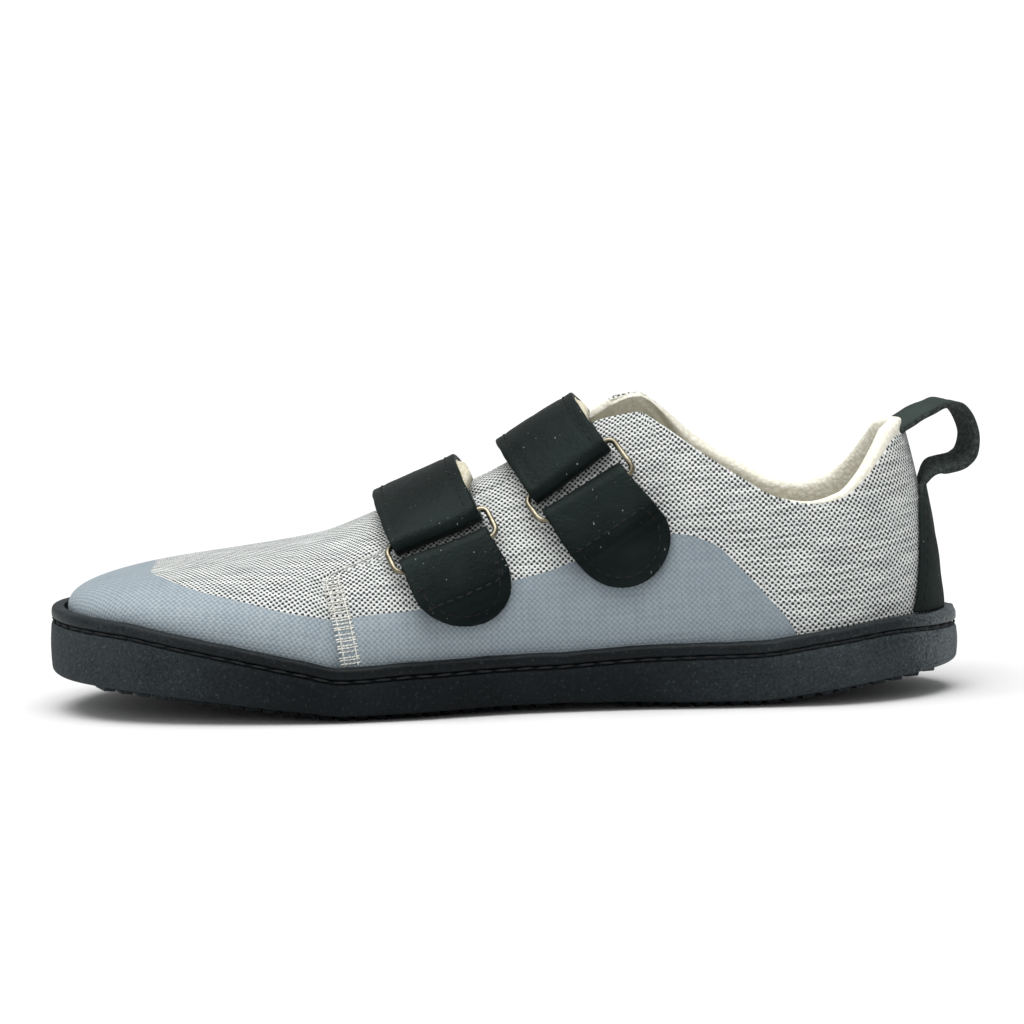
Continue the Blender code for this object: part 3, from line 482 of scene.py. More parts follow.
# shader arithmetic
class Reading:
    # a socket in a material; sums, products and powers of it add the Math nodes
    def __init__(self, finish, socket):
        self.finish, self.socket = finish, socket

    def maths(self, operation, *values):
        return self.finish.add("ShaderNodeMath", {"operation": operation}, dict(enumerate(values)))

    def __add__(self, other): return self.maths("ADD", self, other)
    def __radd__(self, other): return self.maths("ADD", other, self)
    def __sub__(self, other): return self.maths("SUBTRACT", self, other)
    def __rsub__(self, other): return self.maths("SUBTRACT", other, self)
    def __mul__(self, other): return self.maths("MULTIPLY", self, other)
    def __rmul__(self, other): return self.maths("MULTIPLY", other, self)
    def __truediv__(self, other): return self.maths("DIVIDE", self, other)
    def __rtruediv__(self, other): return self.maths("DIVIDE", other, self)
    def __pow__(self, other): return self.maths("POWER", self, other)
    def sine(self): return self.maths("SINE", self)
    def size(self): return self.maths("ABSOLUTE", self)

    def step(self, low, high):
        return self.finish.add("ShaderNodeMapRange", {"interpolation_type": "SMOOTHSTEP"},
                               {"Value": self, "From Min": low, "From Max": high})


class Finish:
    # one material; every node comes from add()
    def __init__(self, name, settings=None):
        self.material = bpy.data.materials.new(name)
        self.material.use_nodes = True
        self.tree = self.material.node_tree
        self.shader = self.tree.nodes["Principled BSDF"]
        self.give(self.shader, settings or {})

    def give(self, node, values):
        for key, value in values.items():
            if isinstance(value, Reading):
                self.tree.links.new(value.socket, node.inputs[key])
            elif isinstance(value, tuple) and len(value) == 3 and node.inputs[key].type == "RGBA":
                node.inputs[key].default_value = (*value, 1)
            else:
                node.inputs[key].default_value = value

    def add(self, kind, settings=None, values=None, out=0):
        node = self.tree.nodes.new(kind)
        for key, value in (settings or {}).items():
            setattr(node, key, value)
        self.give(node, values or {})
        return Reading(self, node.outputs[out])

    def mapped(self, vector, scale, turn=(0, 0, 0)):
        return self.add("ShaderNodeMapping", None, {"Vector": vector, "Scale": scale, "Rotation": turn})

    def place(self, scale=(1, 1, 1), turn=(0, 0, 0)):
        return self.mapped(self.add("ShaderNodeTexCoord", out="Object"), scale, turn)

    def mark(self, name):
        return self.add("ShaderNodeAttribute", {"attribute_name": name}, out="Fac")

    def grain(self, vector, scale, detail=2.0, rough=0.5):
        return self.add("ShaderNodeTexNoise", None,
                        {"Vector": vector, "Scale": scale, "Detail": detail, "Roughness": rough})

    def part(self, vector, axis):
        return self.add("ShaderNodeSeparateXYZ", None, {"Vector": vector}, out=axis)

    def mix(self, share, first, second):
        return self.add("ShaderNodeMix", {"data_type": "RGBA"}, {0: share, 6: first, 7: second}, out=2)

    def bump(self, height, distance, strength=1.0):
        bumped = self.add("ShaderNodeBump", None,
                          {"Height": height, "Distance": distance, "Strength": strength})
        self.give(self.shader, {"Normal": bumped})

    def done(self, **values):
        self.give(self.shader, {key.replace("_", " "): value for key, value in values.items()})
        return self.material


cloth = {
    "pitch": 0.65,                          # mm from thread to thread
    "light": (0.84, 0.865, 0.84),
    "shaded": (0.60, 0.625, 0.61),
    "dark": (0.034, 0.038, 0.040),
    "filmLight": (0.345, 0.400, 0.430),
    "filmDark": (0.205, 0.250, 0.285),
}


def canvasFinish():
    f = Finish("canvas", {"Specular IOR Level": 0.25})
    uv = f.add("ShaderNodeUVMap", {"uv_map": "weave"})
    u, w = f.part(uv, 0), f.part(uv, 1)
    uneven = f.grain(uv, 0.35, 2.0) - 0.5
    a = (u / cloth["pitch"] + uneven * 0.5) * math.pi
    b = (w / cloth["pitch"] + uneven * 0.5) * math.pi
    check = a.sine() * b.sine()
    # long streaks along the threads, both ways, make single threads darker or paler
    wefts = f.grain(f.mapped(uv, (0.10, 1.35, 1.0)), 1.0, 1.0) - 0.5
    warps = f.grain(f.mapped(uv, (1.35, 0.10, 1.0)), 1.0, 1.0) - 0.5
    slub = wefts * 0.7 + warps * 0.7
    dark = (check + slub).step(-0.08, 0.42)
    thread = f.mix((wefts - warps + 0.5).step(0.2, 0.8), cloth["light"], cloth["shaded"])
    weave = f.mix(dark, thread, cloth["dark"])
    film = f.mix((check * 0.55 + slub * 0.9 + 0.5).step(0.0, 1.0), cloth["filmLight"], cloth["filmDark"])
    coated = f.mark("film").step(-0.12, 0.12)
    film = f.mix(f.part(f.place(), 0).step(-0.060, 0.015) * 0.30, film, (0.12, 0.155, 0.185))
    height = check.size() ** 0.5
    f.bump(height * (1.0 - coated * 0.75), 0.00022, 0.8)
    return f.done(Base_Color=f.mix(coated, weave, film), Roughness=0.92 - coated * 0.40)


def liningFinish():
    f = Finish("cream_lining", {"Specular IOR Level": 0.2, "Roughness": 0.95})
    spot = f.place()
    dots = f.add("ShaderNodeTexVoronoi", {"feature": "F1"}, {"Vector": spot, "Scale": 900.0}, out="Distance")
    cloudy = f.grain(spot, 160.0, 3.0)
    colour = f.mix(cloudy.step(0.3, 0.7), (0.88, 0.86, 0.75), (0.93, 0.92, 0.83))
    f.bump(dots * -0.6 + f.grain(spot, 2600.0, 2.0) * 0.5, 0.0004, 0.7)
    return f.done(Base_Color=f.mix(dots.step(0.25, 0.75), colour, (0.82, 0.79, 0.67)))


def nubuckFinish(name="black_nubuck", paleWearAndLight=0.0):
    # how much lighter the leather is made, most of all above the heel's stay: partly wear, partly painted
    # light on the faces of the stay and the loop
    f = Finish(name, {"Specular IOR Level": 0.04 if paleWearAndLight else 0.12, "Specular Tint": (0.66, 0.95, 0.88, 1),
                      "Sheen Weight": 0.03, "Sheen Roughness": 0.35, "Sheen Tint": (0.55, 0.70, 0.65, 1)})
    spot = f.place()
    patch = f.grain(spot, 90.0, 3.0)
    nap = f.grain(spot, 1500.0, 3.0, 0.65)
    colour = f.mix(patch.step(0.35, 0.7), (0.0022, 0.0036, 0.0036), (0.0062, 0.0092, 0.0088))
    if paleWearAndLight:
        # painted light and wear: a little paler everywhere, and paler still above 40 to 58 mm
        worn = (f.part(spot, 2).step(0.040, 0.058) * 0.72 + 0.28) * paleWearAndLight
        colour = f.mix(worn * (0.5 + patch), colour, (0.044, 0.058, 0.054))
    lint = f.grain(f.place((1.0, 1.0, 0.55), (0.4, 0.2, 0.9)), 1900.0, 0.0).step(0.835, 0.86)
    f.bump(nap * 0.8 + f.grain(spot, 330.0, 2.0) * 0.5, 0.00030, 0.8)
    return f.done(Base_Color=f.mix(lint, colour, (0.20, 0.22, 0.21)),
                  Roughness=patch * 0.16 + (0.60 if paleWearAndLight else 0.38))


def fleshFinish():
    f = Finish("leather_flesh_side", {"Specular IOR Level": 0.2, "Roughness": 0.95})
    spot = f.place()
    fuzz = f.grain(spot, 1100.0, 4.0, 0.7)
    f.bump(fuzz, 0.0006, 1.0)
    return f.done(Base_Color=f.mix(fuzz.step(0.35, 0.75), (0.020, 0.026, 0.025), (0.078, 0.092, 0.088)))


def rubberFinish(name, dark, light, roughness, grain, dustAndSheen):
    # how much paler the rubber gets towards the toe and the heel: partly real dust specks, partly a painted
    # sheen
    f = Finish(name, {"Specular IOR Level": 0.10})
    spot = f.place()
    ends = (f.part(spot, 0) + 0.012).size().step(0.030, 0.095)
    fine = f.grain(spot, 1700.0, 3.0, 0.7)
    cloud = f.grain(spot, 70.0, 4.0, 0.6)
    speck = f.grain(spot, 1500.0, 1.0).step(0.62, 0.74)
    colour = f.mix((cloud * 0.5 + fine * 0.5).step(0.35, 0.68), dark, light)
    mottled = (fine - 0.5) * 2.0 + cloud * 0.6 + 0.35
    # painted sheen and dust specks: the rubber is paler towards the toe and the heel
    dustAndSheenColour = f.mix(ends * (mottled + speck * 0.5) * dustAndSheen, colour, (0.075, 0.092, 0.099))
    rubbed = (f.part(spot, 0).step(0.066, 0.106) * (cloud * 0.4 + fine)).step(0.34, 0.80)
    dustAndSheenColour = f.mix(rubbed * 0.65, dustAndSheenColour, (0.19, 0.22, 0.23))
    f.bump(fine * 0.7 + f.grain(spot, 420.0, 2.0) * 0.6, grain, 0.8)
    return f.done(Base_Color=f.mix(speck * 0.10, dustAndSheenColour, (0.13, 0.15, 0.15)),
                  Roughness=cloud * 0.15 + roughness)


def brassFinish():
    f = Finish("antique_brass", {"Metallic": 1.0})
    spot = f.place()
    worn = f.grain(spot, 260.0, 3.0, 0.6)
    f.bump(f.grain(spot, 1200.0, 2.0), 0.00005, 0.5)
    return f.done(Base_Color=f.mix(worn.step(0.35, 0.7), (0.17, 0.150, 0.105), (0.34, 0.31, 0.23)),
                  Roughness=0.24 + worn * 0.22)


def threadFinish(name, colour):
    f = Finish(name, {"Specular IOR Level": 0.3, "Roughness": 0.8})
    shade = f.grain(f.place(), 2200.0, 2.0)
    darker = tuple(c * 0.6 for c in colour)
    f.bump(shade, 0.0002, 0.7)
    return f.done(Base_Color=f.mix(shade.step(0.3, 0.7), darker, colour))


def plushFinish(name, dark, light, scale=1400.0):
    f = Finish(name, {"Specular IOR Level": 0.15, "Roughness": 1.0,
                      "Sheen Weight": 0.3, "Sheen Roughness": 0.6})
    spot = f.place()
    pile = f.grain(spot, scale, 3.0, 0.7)
    f.bump(pile, 0.0007, 1.0)
    return f.done(Base_Color=f.mix(pile.step(0.3, 0.7), dark, light))


canvas = canvasFinish()
lining = liningFinish()
nubuck = nubuckFinish()
loopNubuck = nubuckFinish("loop_nubuck", 0.8)
flesh = fleshFinish()
soleRubber = rubberFinish("sole_rubber", dark=(0.0036, 0.0052, 0.0062), light=(0.0082, 0.0112, 0.0130),
                          roughness=0.62, grain=0.00030, dustAndSheen=0.55)
stripRubber = rubberFinish("strip_rubber", dark=(0.0036, 0.0050, 0.0058), light=(0.0080, 0.0105, 0.0120),
                           roughness=0.38, grain=0.00012, dustAndSheen=0.25)
brass = brassFinish()
darkThread = threadFinish("dark_thread", (0.006, 0.007, 0.007))
greyThread = threadFinish("groove_thread", (0.014, 0.016, 0.017))
beigeThread = threadFinish("beige_thread", (0.84, 0.84, 0.78))
padPile = plushFinish("cream_pile", (0.60, 0.55, 0.38), (0.84, 0.80, 0.64))
insoleCloth = plushFinish("insole_cloth", (0.42, 0.40, 0.34), (0.62, 0.60, 0.53), 900.0)
print("finishes ready")


# repeated parts: Geometry Nodes put copies on points or along lines
def startTree(name, inputs):
    # a tree with its named inputs, and a function that adds nodes to it
    tree = bpy.data.node_groups.new(name, "GeometryNodeTree")
    tree.interface.new_socket("Geometry", in_out="INPUT", socket_type="NodeSocketGeometry")
    for label, value in inputs.items():
        kind = "NodeSocketInt" if isinstance(value, int) else "NodeSocketFloat"
        tree.interface.new_socket(label, in_out="INPUT", socket_type=kind).default_value = value
    tree.interface.new_socket("Geometry", in_out="OUTPUT", socket_type="NodeSocketGeometry")

    def node(kind, settings=None, values=None):
        made = tree.nodes.new(kind)
        for key, value in (settings or {}).items():
            setattr(made, key, value)
        for key, value in (values or {}).items():
            if isinstance(value, bpy.types.NodeSocket):
                tree.links.new(value, made.inputs[key])
            else:
                made.inputs[key].default_value = value
        return made

    return tree, node


def endTree(node, copies, material):
    whole = node("GeometryNodeRealizeInstances", None, {0: copies.outputs[0]})
    painted = node("GeometryNodeSetMaterial", None, {"Geometry": whole.outputs[0], "Material": material})
    node("NodeGroupOutput", None, {0: painted.outputs[0]})


def growCopies(name, points, edges, fields, tree, values):
    # the tree's result on these points, as one plain mesh
    mesh = bpy.data.meshes.new(name + "_path")
    mesh.from_pydata((np.array(points) + rowShift).tolist(), edges, [])
    for key, rows in fields.items():
        field = mesh.attributes.new(key, "FLOAT_VECTOR", "POINT")
        field.data.foreach_set("vector", np.array(rows, np.float32).ravel())
    path = bpy.data.objects.new(name + "_path", mesh)
    bpy.context.scene.collection.objects.link(path)
    modifier = path.modifiers.new("copies", "NODES")
    modifier.node_group = tree
    sockets = {item.name: item.identifier for item in tree.interface.items_tree if item.in_out == "INPUT"}
    for label, value in values.items():
        modifier[sockets[label]] = value
    bpy.context.view_layer.update()
    made = bpy.data.meshes.new_from_object(path.evaluated_get(bpy.context.evaluated_depsgraph_get()))
    made.name = name
    bpy.data.objects.remove(path)
    obj = bpy.data.objects.new(name, made)
    bpy.context.scene.collection.objects.link(obj)
    return obj


def stitchTree(material):
    # a small capsule, turned along the line and standing on the surface
    tree, node = startTree("stitch_rows",
                           {"Pitch": 0.0024, "Stitch": 0.0019, "Thread": 0.0005, "Slant": 0.0, "Seed": 7})
    given = node("NodeGroupInput")
    curve = node("GeometryNodeMeshToCurve", None, {"Mesh": given.outputs["Geometry"]})
    spaced = node("GeometryNodeResampleCurve", {"mode": "LENGTH"},
                  {"Curve": curve.outputs[0], "Length": given.outputs["Pitch"]})
    up = node("GeometryNodeInputNamedAttribute", {"data_type": "FLOAT_VECTOR"}, {"Name": "up"})
    tangent = node("GeometryNodeInputTangent")
    along = node("FunctionNodeAlignRotationToVector", {"axis": "X"}, {"Vector": tangent.outputs[0]})
    standing = node("FunctionNodeAlignRotationToVector", {"axis": "Z", "pivot_axis": "X"},
                    {"Rotation": along.outputs[0], "Vector": up.outputs["Attribute"]})
    jitter = node("FunctionNodeRandomValue", {"data_type": "FLOAT"},
                  {2: -0.07, 3: 0.07, "Seed": given.outputs["Seed"]})
    slanted = node("ShaderNodeMath", {"operation": "ADD"}, {0: given.outputs["Slant"], 1: jitter.outputs[1]})
    tilt = node("ShaderNodeCombineXYZ", None, {2: slanted.outputs[0]})
    turned = node("FunctionNodeRotateRotation", {"rotation_space": "LOCAL"},
                  {"Rotation": standing.outputs[0], "Rotate By": tilt.outputs[0]})
    bead = node("GeometryNodeMeshUVSphere", None, {"Segments": 8, "Rings": 6, "Radius": 0.5})
    size = node("ShaderNodeCombineXYZ", None, {0: given.outputs["Stitch"], 1: given.outputs["Thread"],
                                               2: given.outputs["Thread"]})
    shaped = node("GeometryNodeTransform", None, {"Geometry": bead.outputs[0], "Scale": size.outputs[0]})
    placed = node("GeometryNodeInstanceOnPoints", None,
                  {"Points": spaced.outputs[0], "Instance": shaped.outputs[0], "Rotation": turned.outputs[0]})
    endTree(node, placed, material)
    return tree


def sewLines(name, lines, material, pitch, stitch, thread, slant=0.0, seed=7):
    # lines: rows of (points, normals)
    points, ups, edges = [], [], []
    for line, normals in lines:
        start = len(points)
        points += list(line)
        ups += list(normals)
        edges += [(start + k, start + k + 1) for k in range(len(line) - 1)]
    obj = growCopies(name, points, edges, {"up": ups}, stitchTree(material),
                     {"Pitch": pitch, "Stitch": stitch, "Thread": thread, "Slant": slant, "Seed": seed})
    obj.data.shade_smooth()
    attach(obj, root)
    return obj


def sewnRow(spots):
    # a list of (point, normal) as one row for sewLines
    return np.array([point for point, normal in spots]), np.array([normal for point, normal in spots])


# outsole, strip, insole
def ringAt(distance, height, count=420):
    # the sole's outline moved inwards by a distance, at a height that is a function of x
    half = count // 2
    run = np.linspace(0, 1, half + 1)
    inner, innerNormal = outlineAt(-1, run)
    outer, outerNormal = outlineAt(1, run)
    plan = np.vstack([inner, outer[-2:0:-1]])
    normal = np.vstack([innerNormal, outerNormal[-2:0:-1]])
    plan = plan - normal * distance
    return np.column_stack([plan, height(plan[:, 0])])


def ladderFaces(count, start):
    # closes a ring: it begins at the toe tip, goes down the inner side and comes back up the outer one
    half = count // 2
    inner = [start + k for k in range(half + 1)]
    outer = [start + (-k) % count for k in range(half + 1)]
    faces = [(inner[0], inner[1], outer[1])]
    faces += [(inner[k], inner[k + 1], outer[k + 1], outer[k]) for k in range(1, half - 1)]
    faces.append((inner[half - 1], inner[half], outer[half - 1]))
    return faces


def ringsPiece(name, rings, material, capped=True, smoothAngle=50):
    count = len(rings[0])
    vertices = np.vstack(rings)
    faces = gridFaces(len(rings), count, closedRows=not capped, closedColumns=True).tolist()
    if capped:
        faces += ladderFaces(count, 0) + ladderFaces(count, (len(rings) - 1) * count)
    obj = addPiece(name, vertices, faces, [material])
    outwardFaces(obj)
    obj.data.set_sharp_from_angle(angle=math.radians(smoothAngle))
    return obj


def wavy(points, size, length, seed=0.0):
    # a small hand-made unevenness that repeats nowhere in sight
    x, y, z = (points[..., k] / length for k in range(3))
    return size * (np.sin(2.1 * x + 1.7 * z + seed) * np.cos(1.9 * y - 1.1 * x + 2 * seed)
                   + 0.5 * np.sin(4.3 * x - 3.1 * y + 1.3 * seed))


def makeSole():
    def rounded(share):
        # quarter round between the bottom and the side
        angle = share * math.pi / 2
        return (sole["edge"] * (1 - math.sin(angle)),
                lambda x: rimZ(x) + sole["edge"] * (1 - math.cos(angle)))

    def wallZ(x, share):
        low = rimZ(x) + sole["edge"]
        return low + (grooveZ(x) - low) * share

    def seat(x):
        return grooveZ(x) + sole["groove"] - last["gap"]

    rings = [ringAt(*rounded(share)) for share in (0, 0.25, 0.5, 0.75, 1.0)]
    for share in (0.2, 0.4, 0.6, 0.8, 0.93):
        bulge = 0.25 * mm * math.sin(math.pi * share)
        rings.append(ringAt(-bulge + 0.1 * mm * share, lambda x, s=share: wallZ(x, s)))
    rings += [
        ringAt(0.3 * mm, grooveZ),
        ringAt(sole["grooveDepth"], lambda x: grooveZ(x) + 0.1 * mm),
        ringAt(sole["grooveDepth"], seat),
        ringAt(sole["cupWall"], seat),
        ringAt(sole["cupWall"], lambda x: cupZ(x) + 0.4 * mm),
        ringAt(sole["cupWall"] + 0.4 * mm, cupZ),
    ]
    for k in range(5, 10):
        rings[k][:, 2] += wavy(rings[k], 0.05 * mm, 9 * mm)
    obj = ringsPiece("sole_body", rings, soleRubber)
    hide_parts("outsole")
    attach(obj, root)


def lugTree(material):
    # a bar across the sole, bowed towards the heel at both ends and narrower towards the ground
    tree, node = startTree("tread_bars", {"Width": 0.003, "Height": 0.002, "Bow": 0.005})
    given = node("NodeGroupInput")
    size = node("ShaderNodeCombineXYZ", None, {0: given.outputs["Width"], 1: 2.0, 2: given.outputs["Height"]})
    bar = node("GeometryNodeMeshCube", None,
               {"Size": size.outputs[0], "Vertices X": 3, "Vertices Y": 9, "Vertices Z": 3})
    spot = node("GeometryNodeInputPosition")
    split = node("ShaderNodeSeparateXYZ", None, {0: spot.outputs[0]})
    square = node("ShaderNodeMath", {"operation": "MULTIPLY"}, {0: split.outputs[1], 1: split.outputs[1]})
    shift = node("ShaderNodeMath", {"operation": "MULTIPLY"}, {0: square.outputs[0], 1: given.outputs["Bow"]})
    lower = node("ShaderNodeMath", {"operation": "LESS_THAN"}, {0: split.outputs[2], 1: -0.0002})
    narrow = node("ShaderNodeMath", {"operation": "MULTIPLY"}, {0: lower.outputs[0], 1: split.outputs[0]})
    pinch = node("ShaderNodeMath", {"operation": "MULTIPLY"}, {0: narrow.outputs[0], 1: -0.22})
    total = node("ShaderNodeMath", {"operation": "ADD"}, {0: shift.outputs[0], 1: pinch.outputs[0]})
    offset = node("ShaderNodeCombineXYZ", None, {0: total.outputs[0]})
    bowed = node("GeometryNodeSetPosition", None,
                 {"Geometry": bar.outputs["Mesh"], "Offset": offset.outputs[0]})
    reach = node("GeometryNodeInputNamedAttribute", {"data_type": "FLOAT_VECTOR"}, {"Name": "reach"})
    lean = node("GeometryNodeInputNamedAttribute", {"data_type": "FLOAT_VECTOR"}, {"Name": "lean"})
    turn = node("FunctionNodeEulerToRotation", None, {0: lean.outputs["Attribute"]})
    placed = node("GeometryNodeInstanceOnPoints", None,
                  {"Points": given.outputs["Geometry"], "Instance": bowed.outputs[0],
                   "Rotation": turn.outputs[0], "Scale": reach.outputs["Attribute"]})
    endTree(node, placed, material)
    return tree


def makeLugs():
    run = np.linspace(0, 1, 600)
    sides = []
    for side in (-1, 1):
        plan, normal = outlineAt(side, run)
        sides.append(plan - normal * sole["lugBorder"])
    points, reaches, leans = [], [], []
    for start, end in ((0.045, 0.520), (0.610, 0.965)):
        for k in range(int((end - start) * last["length"] / sole["lugPitch"]) + 1):
            x = start * last["length"] + k * sole["lugPitch"]
            low, high = (np.interp(x + sole["lugBow"], s[:, 0], s[:, 1]) for s in sides)
            if high - low < 3 * sole["lugWidth"]:
                continue
            slope = (rimZ(x + sole["lugBow"]) - rimZ(x)) / sole["lugBow"]
            points.append((x, (low + high) / 2, float(rimZ(x)) - 0.35 * mm))
            reaches.append((1, (high - low) / 2, 1))
            leans.append((0, -math.atan(slope), 0))
    obj = growCopies("tread_bars", points, [], {"reach": reaches, "lean": leans}, lugTree(soleRubber),
                     {"Width": sole["lugWidth"], "Height": sole["lugHeight"], "Bow": sole["lugBow"]})
    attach(obj, root)


def makeStrip():
    def low(x):
        return grooveZ(x) + sole["groove"]

    rings = [
        ringAt(sole["cupWall"] - 0.02 * mm, low),
        ringAt(0.5 * mm, low),
        ringAt(0.15 * mm, lambda x: low(x) + 0.3 * mm),
        ringAt(0.1 * mm, lambda x: low(x) + 0.9 * mm),
        ringAt(0.15 * mm, lambda x: stripZ(x) - 0.9 * mm),
        ringAt(0.4 * mm, lambda x: stripZ(x) - 0.35 * mm),
        ringAt(0.9 * mm, lambda x: stripZ(x) - 0.05 * mm),
        ringAt(1.7 * mm, stripZ),
        ringAt(sole["cupWall"] + 0.05 * mm, lambda x: stripZ(x) - 0.05 * mm),
    ]
    for k, ring in enumerate(rings):
        heelLip = eased((ring[:, 0] - 0.965 * last["length"]) / (5 * mm))
        share = (0, 0.2, 0.4, 0.5, 0.8, 1, 1, 1, 0.8)[k]
        ring[:, 2] += share * (wavy(ring, 0.07 * mm, 6 * mm, 1.0) + wavy(ring, 0.05 * mm, 2.2 * mm, 2.0))
        ring[:, 2] += share * heelLip * (0.35 * mm + wavy(ring, 0.3 * mm, 1.6 * mm, 3.0))
    obj = ringsPiece("welt_strip", rings, stripRubber, capped=False)
    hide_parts("welt")
    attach(obj, root)
    # the thread lies in the groove
    line = ringAt(0.55 * mm, lambda x: grooveZ(x) + 0.6 * sole["groove"])
    line = np.vstack([line, line[:1]])
    away = unit(line - np.array([0.5 * last["length"], 0, 0.0]) * [1, 1, 0])
    away[:, 2] = 0
    sewn = sewLines("groove_stitches", [(line, unit(away))], greyThread,
                    sole["threadPitch"], sole["threadStitch"], sole["thread"])


def footInset(run):
    return sole["cupWall"] + last["gap"] + ribTable(run)[..., 0] * last["ballWidth"]


def makeInsole():
    # rings from the cup's floor up round the edge, then inwards over the dished top
    half = 150
    run = np.linspace(0, 1, half + 1)
    plans = []
    for side in (-1, 1):
        plan, normal = outlineAt(side, run)
        plans.append((plan, normal, footInset(run) + last["wall"] + 2 * last["gap"]))
    rings = []
    for extra, height in ((0.0, 0.3), (-0.1, 1.6), (0.0, 2.5), (0.35, 2.9), (0.9, 3.0)):
        inner, outer = (p - n * (e + extra * mm)[:, None] for p, n, e in plans)
        plan = np.vstack([inner, outer[-2:0:-1]])
        rings.append(np.column_stack([plan, cupZ(plan[:, 0]) + height * mm]))
    middle = rings[-1].mean(axis=0)
    for share, dip in ((0.92, 0.0), (0.8, 0.15), (0.6, 0.35)):
        ring = rings[4].copy()
        centreY = np.interp(ring[:, 0], plans[0][0][:, 0], (plans[0][0][:, 1] + plans[1][0][:, 1]) / 2)
        ring[:, 0] = middle[0] + (ring[:, 0] - middle[0]) * (1 - (1 - share) * 0.4)
        ring[:, 1] = centreY + (ring[:, 1] - centreY) * share
        ring[:, 2] = cupZ(ring[:, 0]) + (3.0 - dip) * mm
        rings.append(ring)
    obj = ringsPiece("footbed", rings, insoleCloth)
    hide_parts("insole")
    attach(obj, root)


makeSole()
makeLugs()
makeStrip()
makeInsole()
print("sole, strip and footbed built")


# upper
upper = {
    "vampEnd": 0.452,                      # share of the way round where the vamp ends under the quarters
    "halfRound": 235 * mm,                 # from the toe tip round one side to the heel, roughly
    "step": 1.0 * mm,                      # how far the vamp sinks under the quarters
    "stepRun": 5.0 * mm,
    "inCup": -0.8,                         # how far the cloth goes down into the cup, 1 is its floor
    "topStart": 0.402,                     # share of the way round where the quarter's top edge starts
    "bottomStart": 0.3535,                 # the same for its bottom edge
    "cornerEnd": 0.44,                     # the top edge rises from the front corner up to here
    "corner": 0.585,                       # height of that corner up the rib
    "calm": 20,                            # columns each way over which the lower levels even out the edge
    "collarInner": 0.676,                  # share of the way round where the collar's lining starts
    "collarOuter": 0.655,
}
# grey-blue coated film round the foot: share of the way round, height up the rib on the inner, outer side
filmTop = Table([
    (0.000, 0.800, 0.800),
    (0.060, 0.747, 0.760),
    (0.100, 0.670, 0.690),
    (0.146, 0.576, 0.600),
    (0.179, 0.483, 0.510),
    (0.213, 0.402, 0.425),
    (0.250, 0.341, 0.355),
    (0.284, 0.288, 0.300),
    (0.312, 0.262, 0.272),
    (0.354, 0.254, 0.262),
    (0.390, 0.247, 0.255),
    (0.423, 0.236, 0.245),
    (0.450, 0.245, 0.250),
    (0.490, 0.259, 0.265),
    (0.520, 0.286, 0.285),
    (0.550, 0.295, 0.300),
    (0.608, 0.316, 0.315),
    (0.646, 0.319, 0.320),
    (0.671, 0.317, 0.316),
    (0.689, 0.301, 0.302),
    (0.704, 0.275, 0.276),
    (0.718, 0.247, 0.248),
    (0.731, 0.204, 0.206),
    (0.746, 0.155, 0.158),
    (0.760, 0.102, 0.104),
    (0.775, 0.044, 0.046),
    (0.790, -0.060, -0.060),
    (1.000, -3.000, -3.000),
])
# front edge of the quarters: height up the rib, share of the way round
quarterFront = Table([
    (-1.00, 0.3540),
    (0.000, 0.3530),
    (0.087, 0.3507),
    (0.217, 0.3468),
    (0.360, 0.3423),
    (0.470, 0.3388),
    (0.520, 0.3420),
    (0.548, 0.3560),
    (0.562, 0.3740),
    (0.585, 0.3950),
    (0.640, 0.4080),
    (0.780, 0.4200),
    (0.900, 0.4330),
    (1.000, 0.4400),
])
# how far the canvas ends under the collar's cream edge: share of the length, distance
canvasDrop = Table([
    (0.640, 0.30 * mm),
    (0.760, 0.35 * mm),
    (0.800, 0.50 * mm),
    (0.840, 1.10 * mm),
    (0.875, 1.90 * mm),
    (0.905, 2.70 * mm),
    (0.925, 3.40 * mm),
    (1.000, 3.80 * mm),
])


def edgeDrop(side, share):
    # the far side's canvas ends lower, so only cream shows over the near edge
    drop = canvasDrop(share)[..., 0]
    return drop if side < 0 else np.maximum(drop, 1.2 * mm)


def filmMark(side, run, v):
    # millimetres inside the film's edge, over 0 on the film
    column = 0 if side < 0 else 1
    top = filmTop(run)[..., column]
    here, edge = lastAt(side, run, v), lastAt(side, run, np.clip(top, 0, 1))
    step = 0.01
    after, before = filmTop(np.clip(run + step, 0, 1)), filmTop(np.clip(run - step, 0, 1))
    slope = np.abs((after - before)[..., column]) / (2 * step)
    away = np.linalg.norm(here - edge, axis=-1) / mm / np.sqrt(1 + (slope * 0.16) ** 2)
    return np.where(v < top, away, -away)


